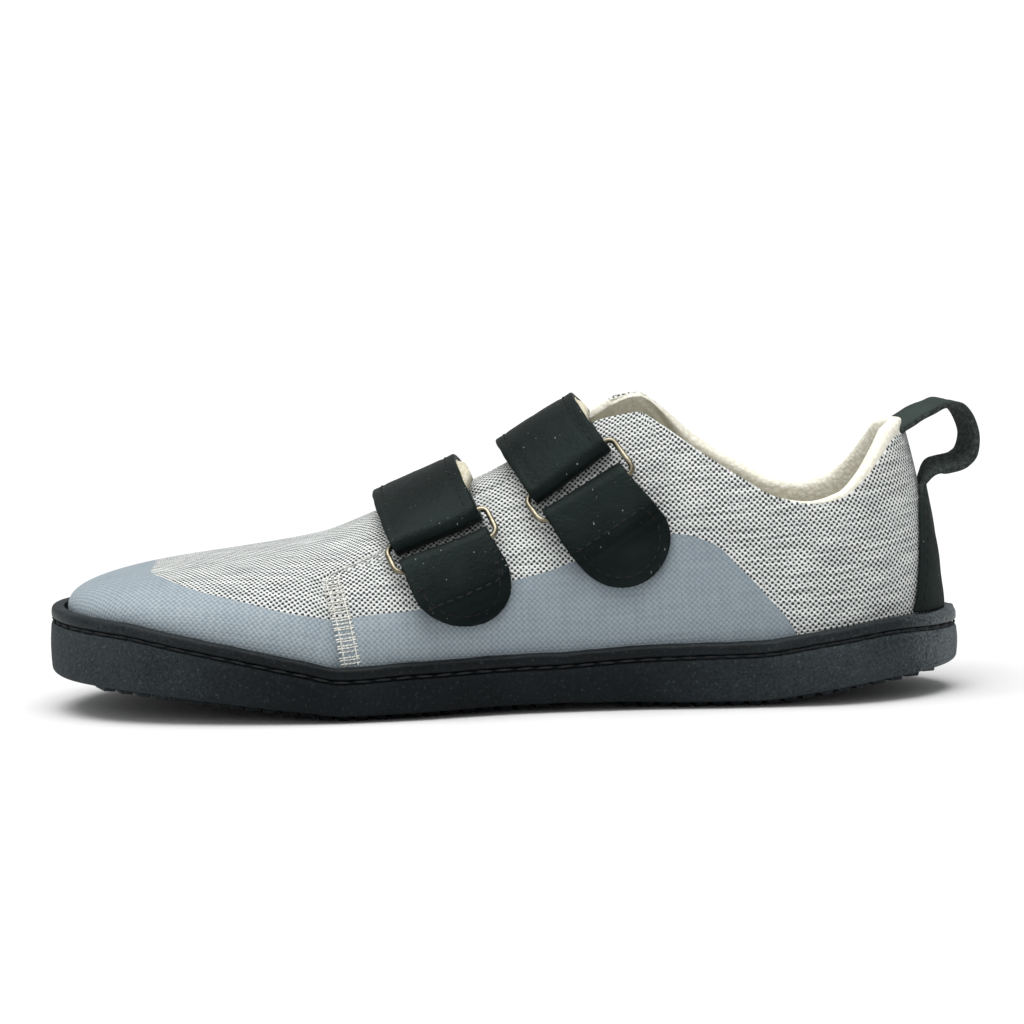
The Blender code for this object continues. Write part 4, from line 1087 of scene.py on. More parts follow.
def makeVamp():
    half, levels = 150, 78
    run = np.linspace(0, upper["vampEnd"], half)
    v = np.r_[upper["inCup"], np.linspace(0, 1, levels)]
    sides = []
    for side in (-1, 1):
        grid = np.broadcast_to(run[:, None], (half, len(v)))
        height = np.broadcast_to(v[None, :], (half, len(v)))
        skin, normal = lastAt(side, grid, height), lastNormal(side, grid, np.clip(height, 0, 1))
        edge = quarterFront(height)[..., 0]
        behind = (grid - edge) * upper["halfRound"]          # how far behind the quarters' front edge
        sink = upper["step"] * eased((behind + upper["stepRun"]) / upper["stepRun"])
        rise = np.where(height > 0, foldHeight(skin), 0.0)
        outer = skin + normal * (rise - sink)[..., None]
        inner = skin - normal * (last["wall"] + sink * 0.9)[..., None]
        sides.append((outer, inner, filmMark(side, grid, height)))
    merged = [np.vstack([a[::-1], b[1:]]) for a, b in zip(*sides)]
    merged[0][:, -1] = (merged[0][:, -1] + merged[0][::-1, -1]) / 2      # both sides meet on the ridge
    merged[1][:, -1] = (merged[1][:, -1] + merged[1][::-1, -1]) / 2
    weave = flattened(merged[0][:, 1:], (half - 1 - 40, 20), (10, 20), 184)
    weave = np.concatenate([2 * weave[:, :1] - weave[:, 1:2], weave], axis=1)
    obj = panel("vamp", merged[0], merged[1], [canvas, lining], weave, {"film": merged[2]})
    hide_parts("upper")
    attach(obj, root)


def quarterGrid(side, columns, levels):
    # columns run from the front edge round to the heel; levels from inside the cup to the canvas edge
    c = np.linspace(0, 1, columns)
    start, end = upper["topStart"], upper["cornerEnd"]
    topRun = start + (1 - start) * c
    topV = cutV(side, topRun)
    rise = (np.interp(end, topRun, topV) - upper["corner"]) / (end - start)
    topV = np.where(topRun < end, upper["corner"] + rise * (topRun - start), topV)
    # only the topmost levels follow the sharp turn of the edge at the throat
    window = 2 * upper["calm"] + 1
    calm = np.convolve(np.pad(topV, upper["calm"], mode="edge"), np.full(window, 1 / window), "valid")
    bottomRun = upper["bottomStart"] + (1 - upper["bottomStart"]) * c
    l = np.linspace(0, 1, levels)
    rows, heights = [], []
    for k in range(columns):
        straight = bottomRun[k] + (topRun[k] - bottomRun[k]) * l
        v = calm[k] * l + (topV[k] - calm[k]) * l**6
        fade = (1 - c[k]) ** 6
        front = quarterFront(v)[..., 0]
        firstStraight = bottomRun[0] + (topRun[0] - bottomRun[0]) * l
        rows.append(straight + (front - firstStraight) * fade)
        heights.append(v)
    return np.array(rows), np.array(heights)


def makeQuarter(side, name):
    columns, levels = 230, 70
    run, v = quarterGrid(side, columns, levels)
    top = lastAt(side, run[:, -1], v[:, -1])
    drop = edgeDrop(side, top[:, 0] / last["length"])
    ribLength = np.linalg.norm(np.diff(lastAt(side, run, v), axis=1), axis=-1).sum(axis=1)
    onCollar = eased((top[:, 0] / last["length"] - (0.60 if side < 0 else 0.57)) / 0.03)
    v = v * (1 - (drop * onCollar / ribLength))[:, None]
    run = np.concatenate([run[:, :1], run], axis=1)
    v = np.concatenate([np.full((columns, 1), upper["inCup"]), v], axis=1)
    skin, normal = lastAt(side, run, v), lastNormal(side, run, np.clip(v, 0, 1))
    toEdge = np.linalg.norm(skin - skin[:, -1:], axis=-1)
    padded = onCollar[:, None] * (1 - eased(toEdge / (8 * mm)))
    thick = last["wall"] - (last["wall"] - 0.8 * mm) * padded
    proud = 0.05 * mm * np.ones_like(toEdge)
    outer = skin + normal * (foldHeight(skin) * (v > 0) * eased(toEdge / (5 * mm)) + proud)[..., None]
    inner = skin - normal * thick[..., None]
    weave = flattened(outer[:, 1:], (40, 25), (190, 25), -2.0 if side < 0 else 182.0)
    weave = np.concatenate([2 * weave[:, :1] - weave[:, 1:2], weave], axis=1)
    obj = panel(name, outer, inner, [canvas, lining], weave, {"film": filmMark(side, run, v)}, rim=0.35 * mm)
    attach(obj, root)
    return obj


def makeCollar():
    # the padded cream edge, from the front corner round the heel to the other front corner
    # its section in millimetres: distance down the rib, height over the last
    hidden = [(1.3, -1.00), (0.5, -0.55), (0.0, -0.15)]          # under the canvas's edge
    section = hidden + [
        (1.5, 0.10), (0.75, -0.15), (0.25, -0.65), (0.02, -1.30), (0.05, -2.05), (0.30, -2.75),
        (0.85, -3.30), (1.8, -3.62), (3.4, -3.75), (5.5, -3.55), (8.0, -3.00), (10.5, -2.40),
        (13.0, -1.95), (16.0, -1.75), (16.5, -1.45), (9.0, -1.05), (3.0, -0.85),
    ]
    rings = []
    for side in (-1, 1):
        if side < 0:
            runs = np.linspace(upper["collarInner"], 1.0, 190)
        else:
            runs = np.linspace(1.0, upper["collarOuter"], 200)[1:]
        fine = np.linspace(0, 1, 160) * cutV(side, runs)[:, None]
        lines = lastAt(side, runs[:, None], fine)
        steps = np.linalg.norm(np.diff(lines, axis=1), axis=-1)
        down = np.hstack([np.cumsum(steps[:, ::-1], axis=1)[:, ::-1], np.zeros((len(runs), 1))])
        share = lines[:, -1, 0] / last["length"]
        drop = edgeDrop(side, share) / mm
        padded = eased((share - 0.648) / 0.05)
        levels, depths = [], []
        for distance, height in section:
            far, depth = distance + 0 * drop, height + 0 * drop
            if (distance, height) in hidden:
                far = distance + drop
            elif height > -0.9 and distance < 2:
                far = distance * (0.25 + 0.75 * np.minimum(drop / 3.0, 1.0))
                depth = np.where(drop > 1, height, min(height, -0.15))
            levels.append([np.interp(f * mm, d[::-1], v[::-1]) for f, d, v in zip(far, down, fine)])
            depths.append(np.where(depth > -1.6, depth, -1.6 + (depth + 1.6) * padded))
        levels, depths = np.array(levels).T, np.array(depths).T * mm
        rings.append(lastAt(side, runs[:, None], levels)
                     + lastNormal(side, runs[:, None], levels) * depths[..., None])
    rings = np.vstack(rings)
    count, ring = rings.shape[:2]
    obj = addPiece("collar_lining", rings.reshape(-1, 3), tubeFaces(count, ring), [lining])
    outwardFaces(obj)
    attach(obj, root)


tongue = {
    "start": 0.405,                        # shares of the way round
    "end": 0.648,
    "halfWidth": 19 * mm,
    "top": 0.982,                          # height of the quarters' corners, share of the instep
    "below": 3.5 * mm,
    "thick": 2.2 * mm,
}


def makeTongue():
    runs, fine = np.linspace(tongue["start"], tongue["end"], 64), np.linspace(0, 1, 240)
    behind = lastAt(-1, runs, 1.0)[:, 0] / last["length"] - 0.40
    limit = tongue["top"] * last["instep"] - tongue["below"]
    halves = []
    for side in (-1, 1):
        line = lastAt(side, runs[:, None], fine)
        low = fine[np.argmax(np.abs(line[..., 1]) < tongue["halfWidth"], axis=1)][:, None]
        over = line[..., 2] > limit
        high = np.where(over.any(axis=1), fine[np.argmax(over, axis=1)], 1.0)[:, None]
        away = np.linspace(1, 0, 31) if side < 0 else np.linspace(0, 1, 31)
        level = low + (high - low) * (1 - away)
        depth = 1.25 + 1.1 * eased((away - 0.25) / 0.35) + 0.4 * eased(1 - behind / 0.04)[:, None]
        halves.append(lastAt(side, runs[:, None], level)
                      - lastNormal(side, runs[:, None], level) * depth[..., None] * mm)
    middle = (halves[0][:, -1:] + halves[1][:, :1]) / 2
    outer = np.concatenate([halves[0][:, :-1], middle, halves[1][:, 1:]], axis=1)
    normals = unit(np.cross(np.gradient(outer, axis=0), np.gradient(outer, axis=1)))
    if normals[..., 2].mean() < 0:
        normals = -normals
    inner = outer - normals * tongue["thick"]
    weave = flattened(outer, (5, 30), (56, 30), 2.0)
    obj = panel("tongue_cloth", outer, inner, [canvas, lining], weave,
                {"film": np.full(outer.shape[:2], -5.0)}, rim=0.8 * mm)
    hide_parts("tongue")
    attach(obj, root)


seam = {
    "rails": (0.35 * mm, 3.3 * mm),        # how far behind the quarters' front edge
    "ends": (-0.3 * mm, 3.5 * mm),         # the rungs' reach
    "rungs": 26,
    "low": 0.02,                           # heights up the rib
    "high": 0.48,
    "railThread": 0.40 * mm,
    "rungThread": 0.38 * mm,
}


def seamPath(side, back, v):
    run = quarterFront(v)[..., 0] + back / upper["halfRound"]
    point = lastAt(side, run, v)
    normal = lastNormal(side, run, np.clip(v, 0, 1))
    return point + normal * 0.12 * mm, normal


def makeSeam():
    # ladder of beige thread over the quarters' front edge
    rungs, rails = [], []
    for side in (-1, 1):
        for back in seam["rails"]:
            rails.append(seamPath(side, back, np.linspace(seam["low"], seam["high"] + 0.02, 60)))
        for k, v in enumerate(np.linspace(seam["low"], seam["high"], seam["rungs"])):
            # no two rungs lie quite the same
            sway = 0.004 * math.sin(2.3 * k) + 0.003 * math.sin(5.1 * k)
            backs = np.linspace(*seam["ends"], 8)
            rungs.append(sewnRow([seamPath(side, b, np.array(v + sway + 1.8 * b)) for b in backs]))
        rails.append(seamPath(side, 0.5 * mm, np.linspace(0.49, 0.60, 24)))
    sewnRails = sewLines("seam_rails", rails, beigeThread, 1.1 * mm, 1.25 * mm, seam["railThread"], seed=3)
    sewnRungs = sewLines("seam_rungs", rungs, beigeThread, 0.8 * mm, 1.05 * mm, seam["rungThread"],
                         slant=0.12, seed=5)


makeVamp()
makeQuarter(-1, "inner_quarter")
makeQuarter(1, "outer_quarter")
makeCollar()
makeTongue()
makeSeam()
print("upper built")


# straps, tabs, pads and rings
strapSizes = {
    "leather": 1.5 * mm,
    "width": 20.4 * mm,
    "tabWidth": 21.8 * mm,
    "tabHidden": 9 * mm,
    "padGap": 1.2 * mm,
    "padLean": 1.4 * mm,
    "wire": 1.5 * mm,
    "ringSide": 1.6 * mm,
    "ringCorner": 1.9 * mm,
    "ringOpening": 7.0 * mm,
    "seamIn": 2.3 * mm,
    "stitchPitch": 2.4 * mm,
    "stitch": 1.9 * mm,
    "thread": 0.55 * mm,
    "settle": 8 * mm,                      # past the ring the folded layer comes down onto its pad
}
# along the band, over the ridge at 0: the root is sewn on the outer side, the ring lies on the inner side
strapRows = [
    {"name": "front", "ridge": 0.412, "slope": math.radians(28), "spread": 0.17, "slip": 0.6 * mm,
     "reach": 24.0 * mm, "tabEnd": 47.4 * mm, "tip": 34 * mm, "root": 45 * mm, "padStray": 2.0 * mm},
    {"name": "rear", "ridge": 0.549, "slope": math.radians(37), "spread": 0.14, "slip": 2.6 * mm,
     "reach": 18.8 * mm, "tabEnd": 49.2 * mm, "tip": 38 * mm, "root": 51 * mm, "padStray": 1.4 * mm},
]
underLayer = last["gap"] + strapSizes["leather"] / 2
turnHeight = strapSizes["leather"] + strapSizes["wire"] + 2 * last["gap"]
overPads = underLayer + strapSizes["leather"] + strapSizes["padGap"]


def lastTree(ribs=130, levels=48):
    run, v = np.linspace(0, 1, ribs), np.linspace(0, 1, levels)
    vertices, faces = [], []
    for side in (-1, 1):
        grid = lastAt(side, run[:, None] + 0 * v, v[None, :] + 0 * run[:, None])
        faces += gridFaces(ribs, levels, start=len(vertices)).tolist()
        vertices += [Vector(p) for p in grid.reshape(-1, 3)]
    return BVHTree.FromPolygons(vertices, faces)


tree = lastTree()


class Band:
    # places points on a band round the instep: distance along it, across it, height over it
    def __init__(self, row):
        above = Vector((row["ridge"] * last["length"], 0, 2 * last["instep"]))
        self.row = row
        self.across = Vector((math.cos(row["slope"]), 0, math.sin(row["slope"])))
        self.up = Vector((-math.sin(row["slope"]), 0, math.cos(row["slope"])))
        self.middle = tree.ray_cast(above, Vector((0, 0, -1)))[0] - self.up * 0.42 * last["instep"]
        self.spreadEnd = row["reach"] - strapSizes["leather"] - strapSizes["wire"]
        self.angles = np.radians(np.linspace(-130, 130, 131))
        self.lines, self.feet = {}, {}

    def hit(self, angle, sideways):
        way = Vector((0, 1, 0)) * math.sin(angle) + self.up * math.cos(angle)
        start = self.middle + self.across * sideways
        found = tree.ray_cast(start, way)[0]
        return (found if found else start + way * 0.3 * last["instep"]), way

    def runs(self, sideways):
        key = round(sideways / (0.1 * mm))
        if key not in self.lines:
            line = np.array([self.hit(a, sideways)[0] for a in self.angles])
            steps = np.r_[0, np.cumsum(np.linalg.norm(np.diff(line, axis=0), axis=1))]
            self.lines[key] = steps - np.interp(0.0, self.angles, steps)
        return self.lines[key]

    def place(self, run, sideways, height):
        key = (round(run * 1e6), round(sideways * 1e6))
        if key not in self.feet:
            # the ring hangs askew, so the tab's top lies lower at the heel edge
            hung = eased((-run - self.row["reach"] - 2.4 * mm) / (3.6 * mm))
            hung = float(hung * eased((self.row["tabEnd"] + run) / (26 * mm)))
            run = run - self.row["slip"] * hung * (sideways / strapSizes["width"] + 0.5)
            lag = self.row["spread"] * min(abs(run), self.spreadEnd) * sideways / (strapSizes["width"] / 2)
            lagged = run - math.copysign(lag, run * sideways)
            angle = float(np.interp(lagged, self.runs(sideways), self.angles))
            step = math.radians(3)
            point, way = self.hit(angle, sideways)
            before, after = self.hit(angle - step, sideways)[0], self.hit(angle + step, sideways)[0]
            normal = self.across.cross(after - before).normalized()
            if normal.dot(way) < 0:
                normal = -normal
            self.feet[key] = (np.array(point), np.array(normal))
        point, normal = self.feet[key]
        return point + normal * height


def leatherSlots(count, ring, columns, dyedFrom):
    # 0 on the face and its rounded edges, 1 on the flesh side; from dyedFrom on the strip is 0 all round
    slots = []
    for i in range(count - 1):
        slots += [0 if j <= columns + 1 or j >= ring - 2 or i >= dyedFrom else 1 for j in range(ring)]
    return slots + [1, 1]


def leatherSection(half, thickness, columns=19, seamIn=None, thin=1.0, turnedOver=False):
    # (across, height) round the cut of a leather strip; the sewn lines pull its face down a little
    r = min(0.5 * mm, half * 0.5)
    t = thickness * thin / 2
    face = []
    for s in np.linspace(-half + r, half - r, columns):
        height = t
        if seamIn and half > 2 * seamIn:
            height -= 0.20 * mm * math.exp(-(((half - abs(s) - seamIn) / (0.55 * mm)) ** 2))
        face.append((s, height))
    angles = np.linspace(math.pi / 2, 0, 4)[1:-1]
    right = [(half - r + r * math.cos(a), t - min(r, t) * (1 - math.sin(a))) for a in angles]
    left = [(-s, h) for s, h in right[::-1]]
    back = [(s, -t) for s in np.linspace(half - r, -half + r, columns)]
    lowRight = [(s, -h) for s, h in right[::-1]]
    lowLeft = [(-s, h) for s, h in lowRight[::-1]]
    loop = face + right + lowRight + back + lowLeft + left
    return [(s, -h) for s, h in loop] if turnedOver else loop


def bandPiece(name, band, stations, materials, seamIn=None, turnedOver=False, seed=0.0):
    columns = 19
    loops = []
    for run, height, half, turn, lean, thin in stations:
        loop = []
        for s, h in leatherSection(half, strapSizes["leather"], columns, seamIn, thin, turnedOver):
            tilt = lean * (1 + s / (strapSizes["width"] / 2)) / 2
            loop.append(band.place(run + math.sin(turn) * h, s, height + math.cos(turn) * h + tilt))
        loops.append(loop)
    loops = np.array(loops)
    count, ring = loops.shape[:2]
    middle = loops.mean(axis=1, keepdims=True)
    loops = loops + unit(loops - middle) * wavy(loops, 0.06 * mm, 3.3 * mm, seed)[..., None]
    obj = addPiece(name, loops.reshape(-1, 3), tubeFaces(count, ring), materials,
                   leatherSlots(count, ring, columns, count))
    return outwardFaces(obj, 0.000005)


def roundedHalf(distance, half):
    # half the width of a round end, at a distance from its tip
    if distance >= half:
        return half
    return math.sqrt(max(half * half - (half - distance) ** 2, (0.1 * half) ** 2))


def thinned(distance):
    return float(0.35 + 0.65 * eased(distance / (0.6 * mm)))


def upperLayer(run, reach):
    # how far the folded-back layer has come down onto its pad, and its height
    settled = float(eased((run + reach) / strapSizes["settle"]))
    return settled, underLayer + turnHeight + (overPads - underLayer - turnHeight) * settled


def strapStations(reach, tip, rootRun):
    # rows of: place along the band, height, half width, turn, lean, how thick
    half = strapSizes["width"] / 2
    stations = [(run, underLayer, half, 0.0, 0.0, 1.0) for run in np.linspace(rootRun, -reach, 80)]
    radius = turnHeight / 2
    for angle in np.linspace(0, math.pi, 15)[1:-1]:
        stations.append((-reach - radius * math.sin(angle), underLayer + radius * (1 - math.cos(angle)),
                         half, angle, 0.0, 1.0))
    rounded = tip - half * (1 - np.sin(np.linspace(0, math.pi / 2, 16)))
    for run in np.r_[np.linspace(-reach, tip - half, 70)[:-1], rounded]:
        settled, height = upperLayer(run, reach)
        stations.append((run, height, roundedHalf(tip - run, half), math.pi, strapSizes["padLean"] * settled,
                         thinned(tip - run)))
    return stations


def tabHeight(run, bar):
    over = underLayer + turnHeight
    down = float(eased((-bar - strapSizes["tabHidden"] - strapSizes["leather"] / 2 - run) / (4 * mm)))
    return over + (underLayer - over) * down


def tabStations(bar, end):
    half, tip = strapSizes["width"] / 2, strapSizes["tabWidth"] / 2
    hidden = strapSizes["tabHidden"]
    stations = [(-bar - hidden * (1 - k / 8), underLayer, half, math.pi, 0.0, 1.0) for k in range(9)]
    radius = turnHeight / 2
    for angle in np.linspace(0, math.pi, 15)[1:-1]:
        stations.append((-bar + radius * math.sin(angle), underLayer + radius * (1 - math.cos(angle)),
                         half, math.pi - angle, 0.0, 1.0))
    rounded = -end + tip * (1 - np.sin(np.linspace(0, math.pi / 2, 16)))
    for run in np.r_[np.linspace(-bar, -end + tip, 36)[:-1], rounded]:
        wide = roundedHalf(end + run, half + (tip - half) * float(eased((-bar - run) / hidden)))
        stations.append((run, tabHeight(run, bar), wide, 0.0, 0.0, thinned(end + run)))
    return stations


def onBand(band, run, s, height):
    point = band.place(run, s, height)
    return point, unit(band.place(run, s, height + 1 * mm) - point)


def makeRing(name, band, first, second):
    height = underLayer + turnHeight / 2
    middle, reach = -(first + second) / 2, (second - first) / 2
    half = strapSizes["width"] / 2 + strapSizes["ringSide"]
    corner = strapSizes["ringCorner"]
    plan = []
    for across, alongWay, start in ((1, 1, 0), (-1, 1, 90), (-1, -1, 180), (1, -1, 270)):
        for step in range(9):
            angle = math.radians(start + 90 * step / 8)
            plan.append((middle + alongWay * (reach - corner) + corner * math.sin(angle),
                         across * (half - corner) + corner * math.cos(angle)))
        nextRun = middle + alongWay * reach
        if across == alongWay:
            plan += [(nextRun, alongWay * share * half) for share in np.linspace(0.7, -0.7, 11)]
        else:
            plan += [(middle + share * reach * alongWay, across * half) for share in (0.4, 0.0, -0.4)]
    centre = np.array([band.place(run, sideways, height) for run, sideways in plan])
    wayOn = unit(np.roll(centre, -1, axis=0) - np.roll(centre, 1, axis=0))
    upWay = unit(np.array([onBand(band, run, sideways, height)[1] for run, sideways in plan]))
    outWay = unit(np.cross(wayOn, upWay))
    upWay = np.cross(outWay, wayOn)
    r, sidesCount = 0.43 * strapSizes["wire"], 14
    loops = []
    for k in range(len(centre)):
        loops.append([centre[k] + r * (math.cos(a) * outWay[k] + math.sin(a) * upWay[k])
                      for a in np.linspace(0, 2 * math.pi, sidesCount, endpoint=False)])
    loops = np.array(loops)
    faces = gridFaces(len(centre), sidesCount, closedRows=True, closedColumns=True)
    obj = addPiece(name, loops.reshape(-1, 3), faces, [brass])
    return outwardFaces(obj)


def makePad(name, band, reach, tip, stray):
    # the pad stands out past the strap's heel edge beyond the ring, up to the ridge
    strapHalf = strapSizes["width"] / 2
    half = strapHalf - last["gap"]
    low = underLayer + strapSizes["leather"] / 2 + 0.05 * mm
    columns = 21
    loops = []
    for run in np.linspace(-reach + strapSizes["settle"] * 0.6, tip - strapHalf, 70):
        strays = eased((run + reach - strapSizes["settle"]) / (5 * mm)) * eased((2 * mm - run) / (9 * mm))
        reachOut = 1 + stray / half * float(strays)
        loop = []
        for s in np.linspace(-half, half, columns):
            thick = strapSizes["padGap"] - 0.1 * mm + strapSizes["padLean"] * (1 + s / strapHalf) / 2
            swell = 0.25 * mm * math.sin(run / (1.9 * mm)) * (abs(s) > half * 0.9)
            sideways = s * (reachOut if s > 0 else 1.0) + swell * math.copysign(1, s)
            loop.append(band.place(run, sideways, low + thick))
        for s in np.linspace(half, -half, columns):
            loop.append(band.place(run, s * (reachOut if s > 0 else 1.0), low))
        loops.append(loop)
    loops = np.array(loops)
    return outwardFaces(addPiece(name, loops.reshape(-1, 3), tubeFaces(*loops.shape[:2]), [padPile]))


def tabRow(band, bar, tabEnd):
    # D-shaped row of stitches on the tab
    top = strapSizes["leather"] / 2 - 0.02 * mm
    a = strapSizes["tabWidth"] / 2 - strapSizes["seamIn"]
    arc = -tabEnd + strapSizes["tabWidth"] / 2
    straight = -bar - strapSizes["tabHidden"] - 0.6 * mm
    plan = [(straight, s) for s in np.linspace(-a, a, 24)]
    plan += [(run, a) for run in np.linspace(straight, arc, 8)[1:]]
    plan += [(arc - a * math.sin(t), a * math.cos(t)) for t in np.linspace(0, math.pi, 30)[1:]]
    plan += [(run, -a) for run in np.linspace(arc, straight, 8)[1:]]
    return sewnRow([onBand(band, run, s, tabHeight(run, bar) + top) for run, s in plan])


def strapRow(band, reach, tip):
    # a row along both edges of the strap's upper layer and round its tip
    top = strapSizes["leather"] / 2 - 0.18 * mm
    half = strapSizes["width"] / 2
    b = half - strapSizes["seamIn"]
    plan = [(run, -b) for run in np.linspace(-reach + 1.5 * mm, tip - half, 50)]
    plan += [(tip - half + b * math.sin(t), -b * math.cos(t)) for t in np.linspace(0, math.pi, 30)[1:]]
    plan += [(run, b) for run in np.linspace(tip - half, -reach + 1.5 * mm, 50)[1:]]
    drawn = []
    for run, s in plan:
        settled, height = upperLayer(run, reach)
        tilt = strapSizes["padLean"] * settled * (1 + s / half) / 2
        drawn.append(onBand(band, run, s, height + tilt + top))
    return sewnRow(drawn)


def makeStraps():
    lines = []
    for index, row in enumerate(strapRows):
        band = Band(row)
        name, reach, tabEnd, tip = row["name"], row["reach"], row["tabEnd"], row["tip"]
        bar = reach + strapSizes["ringOpening"]
        strap = bandPiece(f"leather_strap_{name}", band, strapStations(reach, tip, row["root"]),
                          [nubuck, flesh], strapSizes["seamIn"], turnedOver=True, seed=1.0 + index)
        tab = bandPiece(f"leather_tab_{name}", band, tabStations(bar, tabEnd),
                        [nubuck, flesh], seed=5.0 + index)
        pad = makePad(f"pile_pad_{name}", band, reach, tip, row["padStray"])
        ring = makeRing(f"brass_ring_{name}", band, reach, bar)
        for piece, node, slot in (
            (strap, f"strap_{name}", "nubuck"),
            (tab, f"ring_tab_{name}", "nubuck"),
            (pad, f"strap_pad_{name}", "pad_textile"),
            (ring, f"ring_{name}", "ring_metal"),
        ):
            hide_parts(node)
            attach(piece, root)
        lines += [tabRow(band, bar, tabEnd), strapRow(band, reach, tip)]
    sewn = sewLines("strap_stitches", lines, darkThread,
                    strapSizes["stitchPitch"], strapSizes["stitch"], strapSizes["thread"])


makeStraps()
print("straps built")

# pull loop
loopSizes = {
    "width": 10 * mm,
    "turn": math.radians(20),
    "stayBase": 30 * mm,
    "reach": 11.5 * mm,
    "leather": 1.5 * mm,
    "columns": 21,
    "stitch": 1.9 * mm,
    "thread": 0.5 * mm,
}
# share of the reach behind the heel, height as a share of the instep, twist of the strip
loopRoute = [
    (-0.46, 0.905, 0.30),
    (-0.20, 0.933, 0.30),
    (-0.02, 0.950, 0.25),
    (0.20, 0.967, 0.15),
    (0.43, 0.980, 0.05),
    (0.68, 0.972, 0.00),
    (0.90, 0.925, 0.00),
    (1.00, 0.862, 0.04),
    (0.94, 0.808, 0.12),
    (0.75, 0.777, 0.18),
    (0.50, 0.767, 0.21),
    (0.28, 0.757, 0.22),
    (0.14, 0.735, 0.20),
    (0.07, 0.705, 0.10),
    (0.10, 0.670, 0.00),
]


def heelBack(z, y=0.0):
    hit = tree.ray_cast(Vector((2 * last["length"], y, z)), Vector((-1, 0, 0)))[0]
    return hit.x if hit else 0.985 * last["length"]


def makePullLoop():
    leather = loopSizes["leather"]
    stayTop = loopRoute[-1][1] * last["instep"]
    seat = last["gap"] + leather / 2
    anchor = heelBack(stayTop) + seat - loopRoute[-1][0] * loopSizes["reach"]
    turned = Vector((-math.sin(loopSizes["turn"]), math.cos(loopSizes["turn"]), 0))
    rows = Table([(share, *row) for share, row in zip(np.linspace(0, 1, len(loopRoute)), loopRoute)])
    loops, edgeLines = [], [[], []]
    centre, turns = [], []
    for share in np.linspace(0, 1, 76):
        out, height, twist = rows(share)
        yaw = float(eased(2 * (out - loopRoute[-1][0])))
        turns.append(Vector((0, 1, 0)).lerp(turned, yaw) + Vector((0, 0, twist)))
        swing = max(out - loopRoute[-1][0], 0) * loopSizes["reach"] * math.tan(loopSizes["turn"])
        centre.append(Vector((anchor + out * loopSizes["reach"], swing, height * last["instep"])))
    for k, middle in enumerate(centre):
        run = (centre[min(k + 1, len(centre) - 1)] - centre[max(k - 1, 0)]).normalized()
        across = (turns[k] - run * turns[k].dot(run)).normalized()
        normal = run.cross(across)
        if normal.dot(Vector((-run.z, 0, run.x))) < 0:
            normal = -normal
        # towards the stay the strip bends round the heel
        bend = float(eased(k / (len(centre) - 1) * 6 - 5))
        loops.append([np.array(middle + across * s + normal * h)
                      + np.array([bend * (heelBack(middle.z, s) - heelBack(middle.z)), 0, 0])
                      for s, h in leatherSection(loopSizes["width"] / 2, leather, loopSizes["columns"])])
    hem = lastAt(-1, np.linspace(1.0, 0.8, 90), 0.0)

    def stayPoint(share, s, half, height, lift):
        # a place on the stay, from the loop's foot at share 0 to the strip at share 1
        foot = float(np.interp(abs(s) * loopSizes["stayBase"] / half / 2, -hem[:, 1], hem[:, 2])) + lift
        z = stayTop + (foot - stayTop) * share
        skew = (heelBack(z, s + mm) - heelBack(z, s - mm)) / (2 * mm)
        normal = np.array([1, -skew, 0]) / math.hypot(1, skew)
        return np.array([heelBack(z, s), s, z]) + normal * (seat + height), normal

    for share in np.linspace(0, 1, 61)[1:]:
        half = (loopSizes["width"] + (loopSizes["stayBase"] - loopSizes["width"]) * share**0.6) / 2
        section = leatherSection(half, leather, loopSizes["columns"], 2 * mm if share > 0.1 else None)
        loops.append([stayPoint(share, s, half, h, 0.6 * mm)[0] for s, h in section])
        for side, line in zip((-1, 1), edgeLines):
            line.append(stayPoint(share, side * (half - 2 * mm), half, leather / 2 - 0.15 * mm, 1.4 * mm))
    loops = np.array(loops)
    middle = loops.mean(axis=1, keepdims=True)
    loops = loops + unit(loops - middle) * wavy(loops, 0.10 * mm, 2.6 * mm, 4.0)[..., None]
    count, ring = loops.shape[:2]
    # the loop shows its flesh side and cut edges, the stay is dyed all round
    slots = leatherSlots(count, ring, loopSizes["columns"], len(centre))
    obj = addPiece("leather_pull_loop", loops.reshape(-1, 3), tubeFaces(count, ring),
                   [loopNubuck, flesh], slots)
    outwardFaces(obj, 0.000005)
    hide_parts("heel_pull_loop")
    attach(obj, root)
    sewn = sewLines("stay_stitches", [sewnRow(line) for line in edgeLines], darkThread,
                    strapSizes["stitchPitch"], loopSizes["stitch"], loopSizes["thread"])


makePullLoop()
print("pull loop built")


# floor, light and camera
studio = {
    "floorSize": 40.0,
    "world": 0.42,
    "top": 3.2,
    "front": 0.35,
    "floorColour": (0.74, 0.74, 0.74),
}


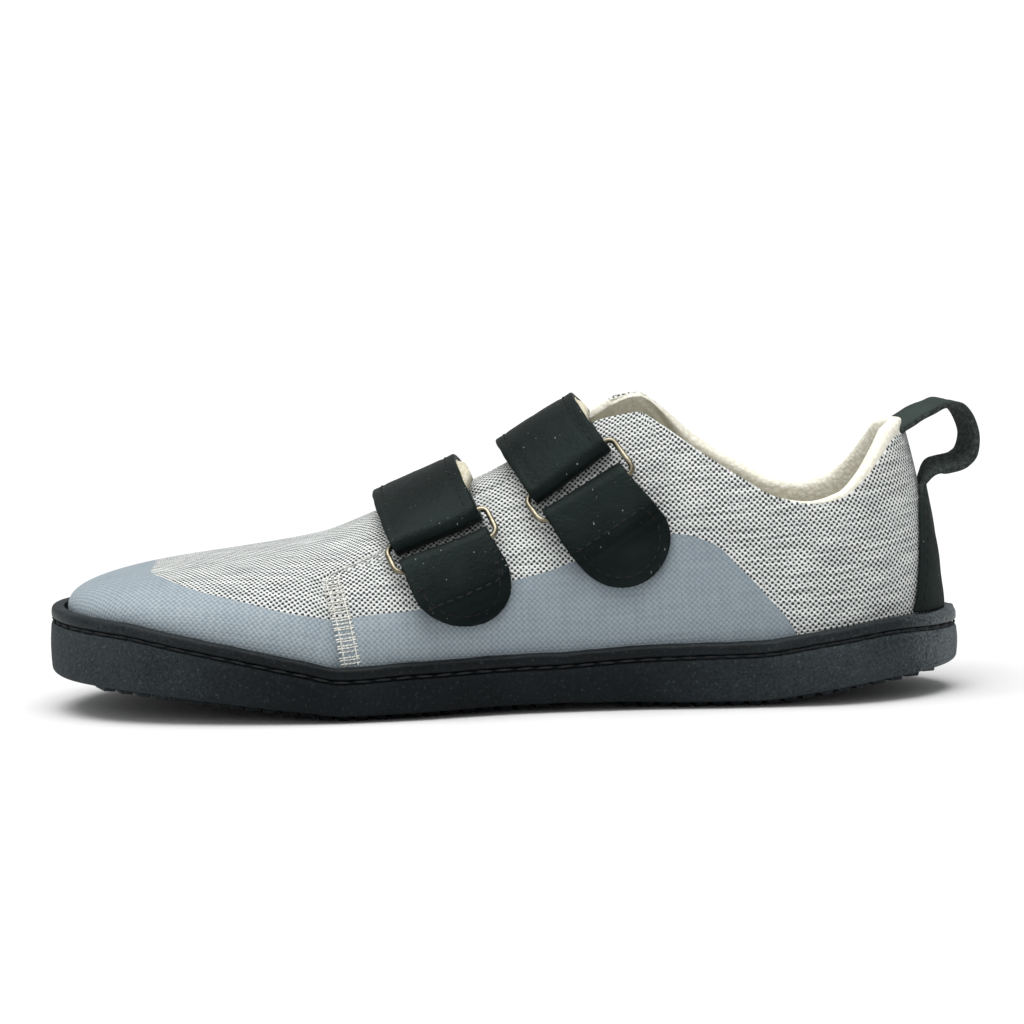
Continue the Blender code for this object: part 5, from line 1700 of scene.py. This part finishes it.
def makeStudio():
    mesh = bpy.data.meshes.new("floor")
    s = studio["floorSize"] / 2
    mesh.from_pydata([(-s, -s, 0), (s, -s, 0), (s, s, 0), (-s, s, 0)], [], [(0, 1, 2, 3)])
    plain = Finish("floor_paper", {"Base Color": (*studio["floorColour"], 1), "Roughness": 0.9,
                                   "Specular IOR Level": 0.1})
    mesh.materials.append(plain.material)
    floor = bpy.data.objects.new("floor", mesh)
    floor.location.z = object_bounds()[0][2] - 0.00005
    bpy.context.scene.collection.objects.link(floor)
    world = bpy.data.worlds.new("studio")
    world.use_nodes = True
    world.node_tree.nodes["Background"].inputs["Color"].default_value = (1, 1, 1, 1)
    world.node_tree.nodes["Background"].inputs["Strength"].default_value = studio["world"]
    bpy.context.scene.world = world
    for name, energy, spread, turn in (("top_light", studio["top"], 55, (8, -6, 0)),
                                       ("front_light", studio["front"], 35, (58, 0, -28))):
        lamp = bpy.data.lights.new(name, "SUN")
        lamp.energy = energy
        lamp.angle = math.radians(spread)
        obj = bpy.data.objects.new(name, lamp)
        obj.rotation_euler = [math.radians(a) for a in turn]
        bpy.context.scene.collection.objects.link(obj)


view = {
    "target": (104.4, 0.0, 41.5),          # mm from the toe tip
    "elevation": math.radians(6.5),
    "roll": math.radians(1.0),
    "distance": 1.3,
    "pixel": 0.227 * mm,
    "photoWidth": 1024,
    "sensor": 36,
}


def makeCamera():
    elevation, roll = view["elevation"], view["roll"]
    target = Vector(np.array(view["target"]) * mm + rowShift)
    back = Vector((0, -math.cos(elevation), math.sin(elevation)))
    right = Vector((1, 0, 0))
    up = back.cross(right)
    turnedRight = right * math.cos(roll) - up * math.sin(roll)
    turnedUp = right * math.sin(roll) + up * math.cos(roll)
    lens = bpy.data.cameras.new("camera")
    lens.sensor_width = view["sensor"]
    lens.lens = view["distance"] / view["pixel"] * view["sensor"] / view["photoWidth"]
    lens.clip_end = 100
    camera = bpy.data.objects.new("camera", lens)
    where = target + back * view["distance"]
    camera.matrix_world = Matrix([[turnedRight[i], turnedUp[i], back[i], where[i]] for i in range(3)]
                                 + [[0, 0, 0, 1]])
    bpy.context.scene.collection.objects.link(camera)
    bpy.context.scene.camera = camera


makeStudio()
makeCamera()
bpy.context.scene.view_settings.view_transform = "Standard"
print("studio ready")
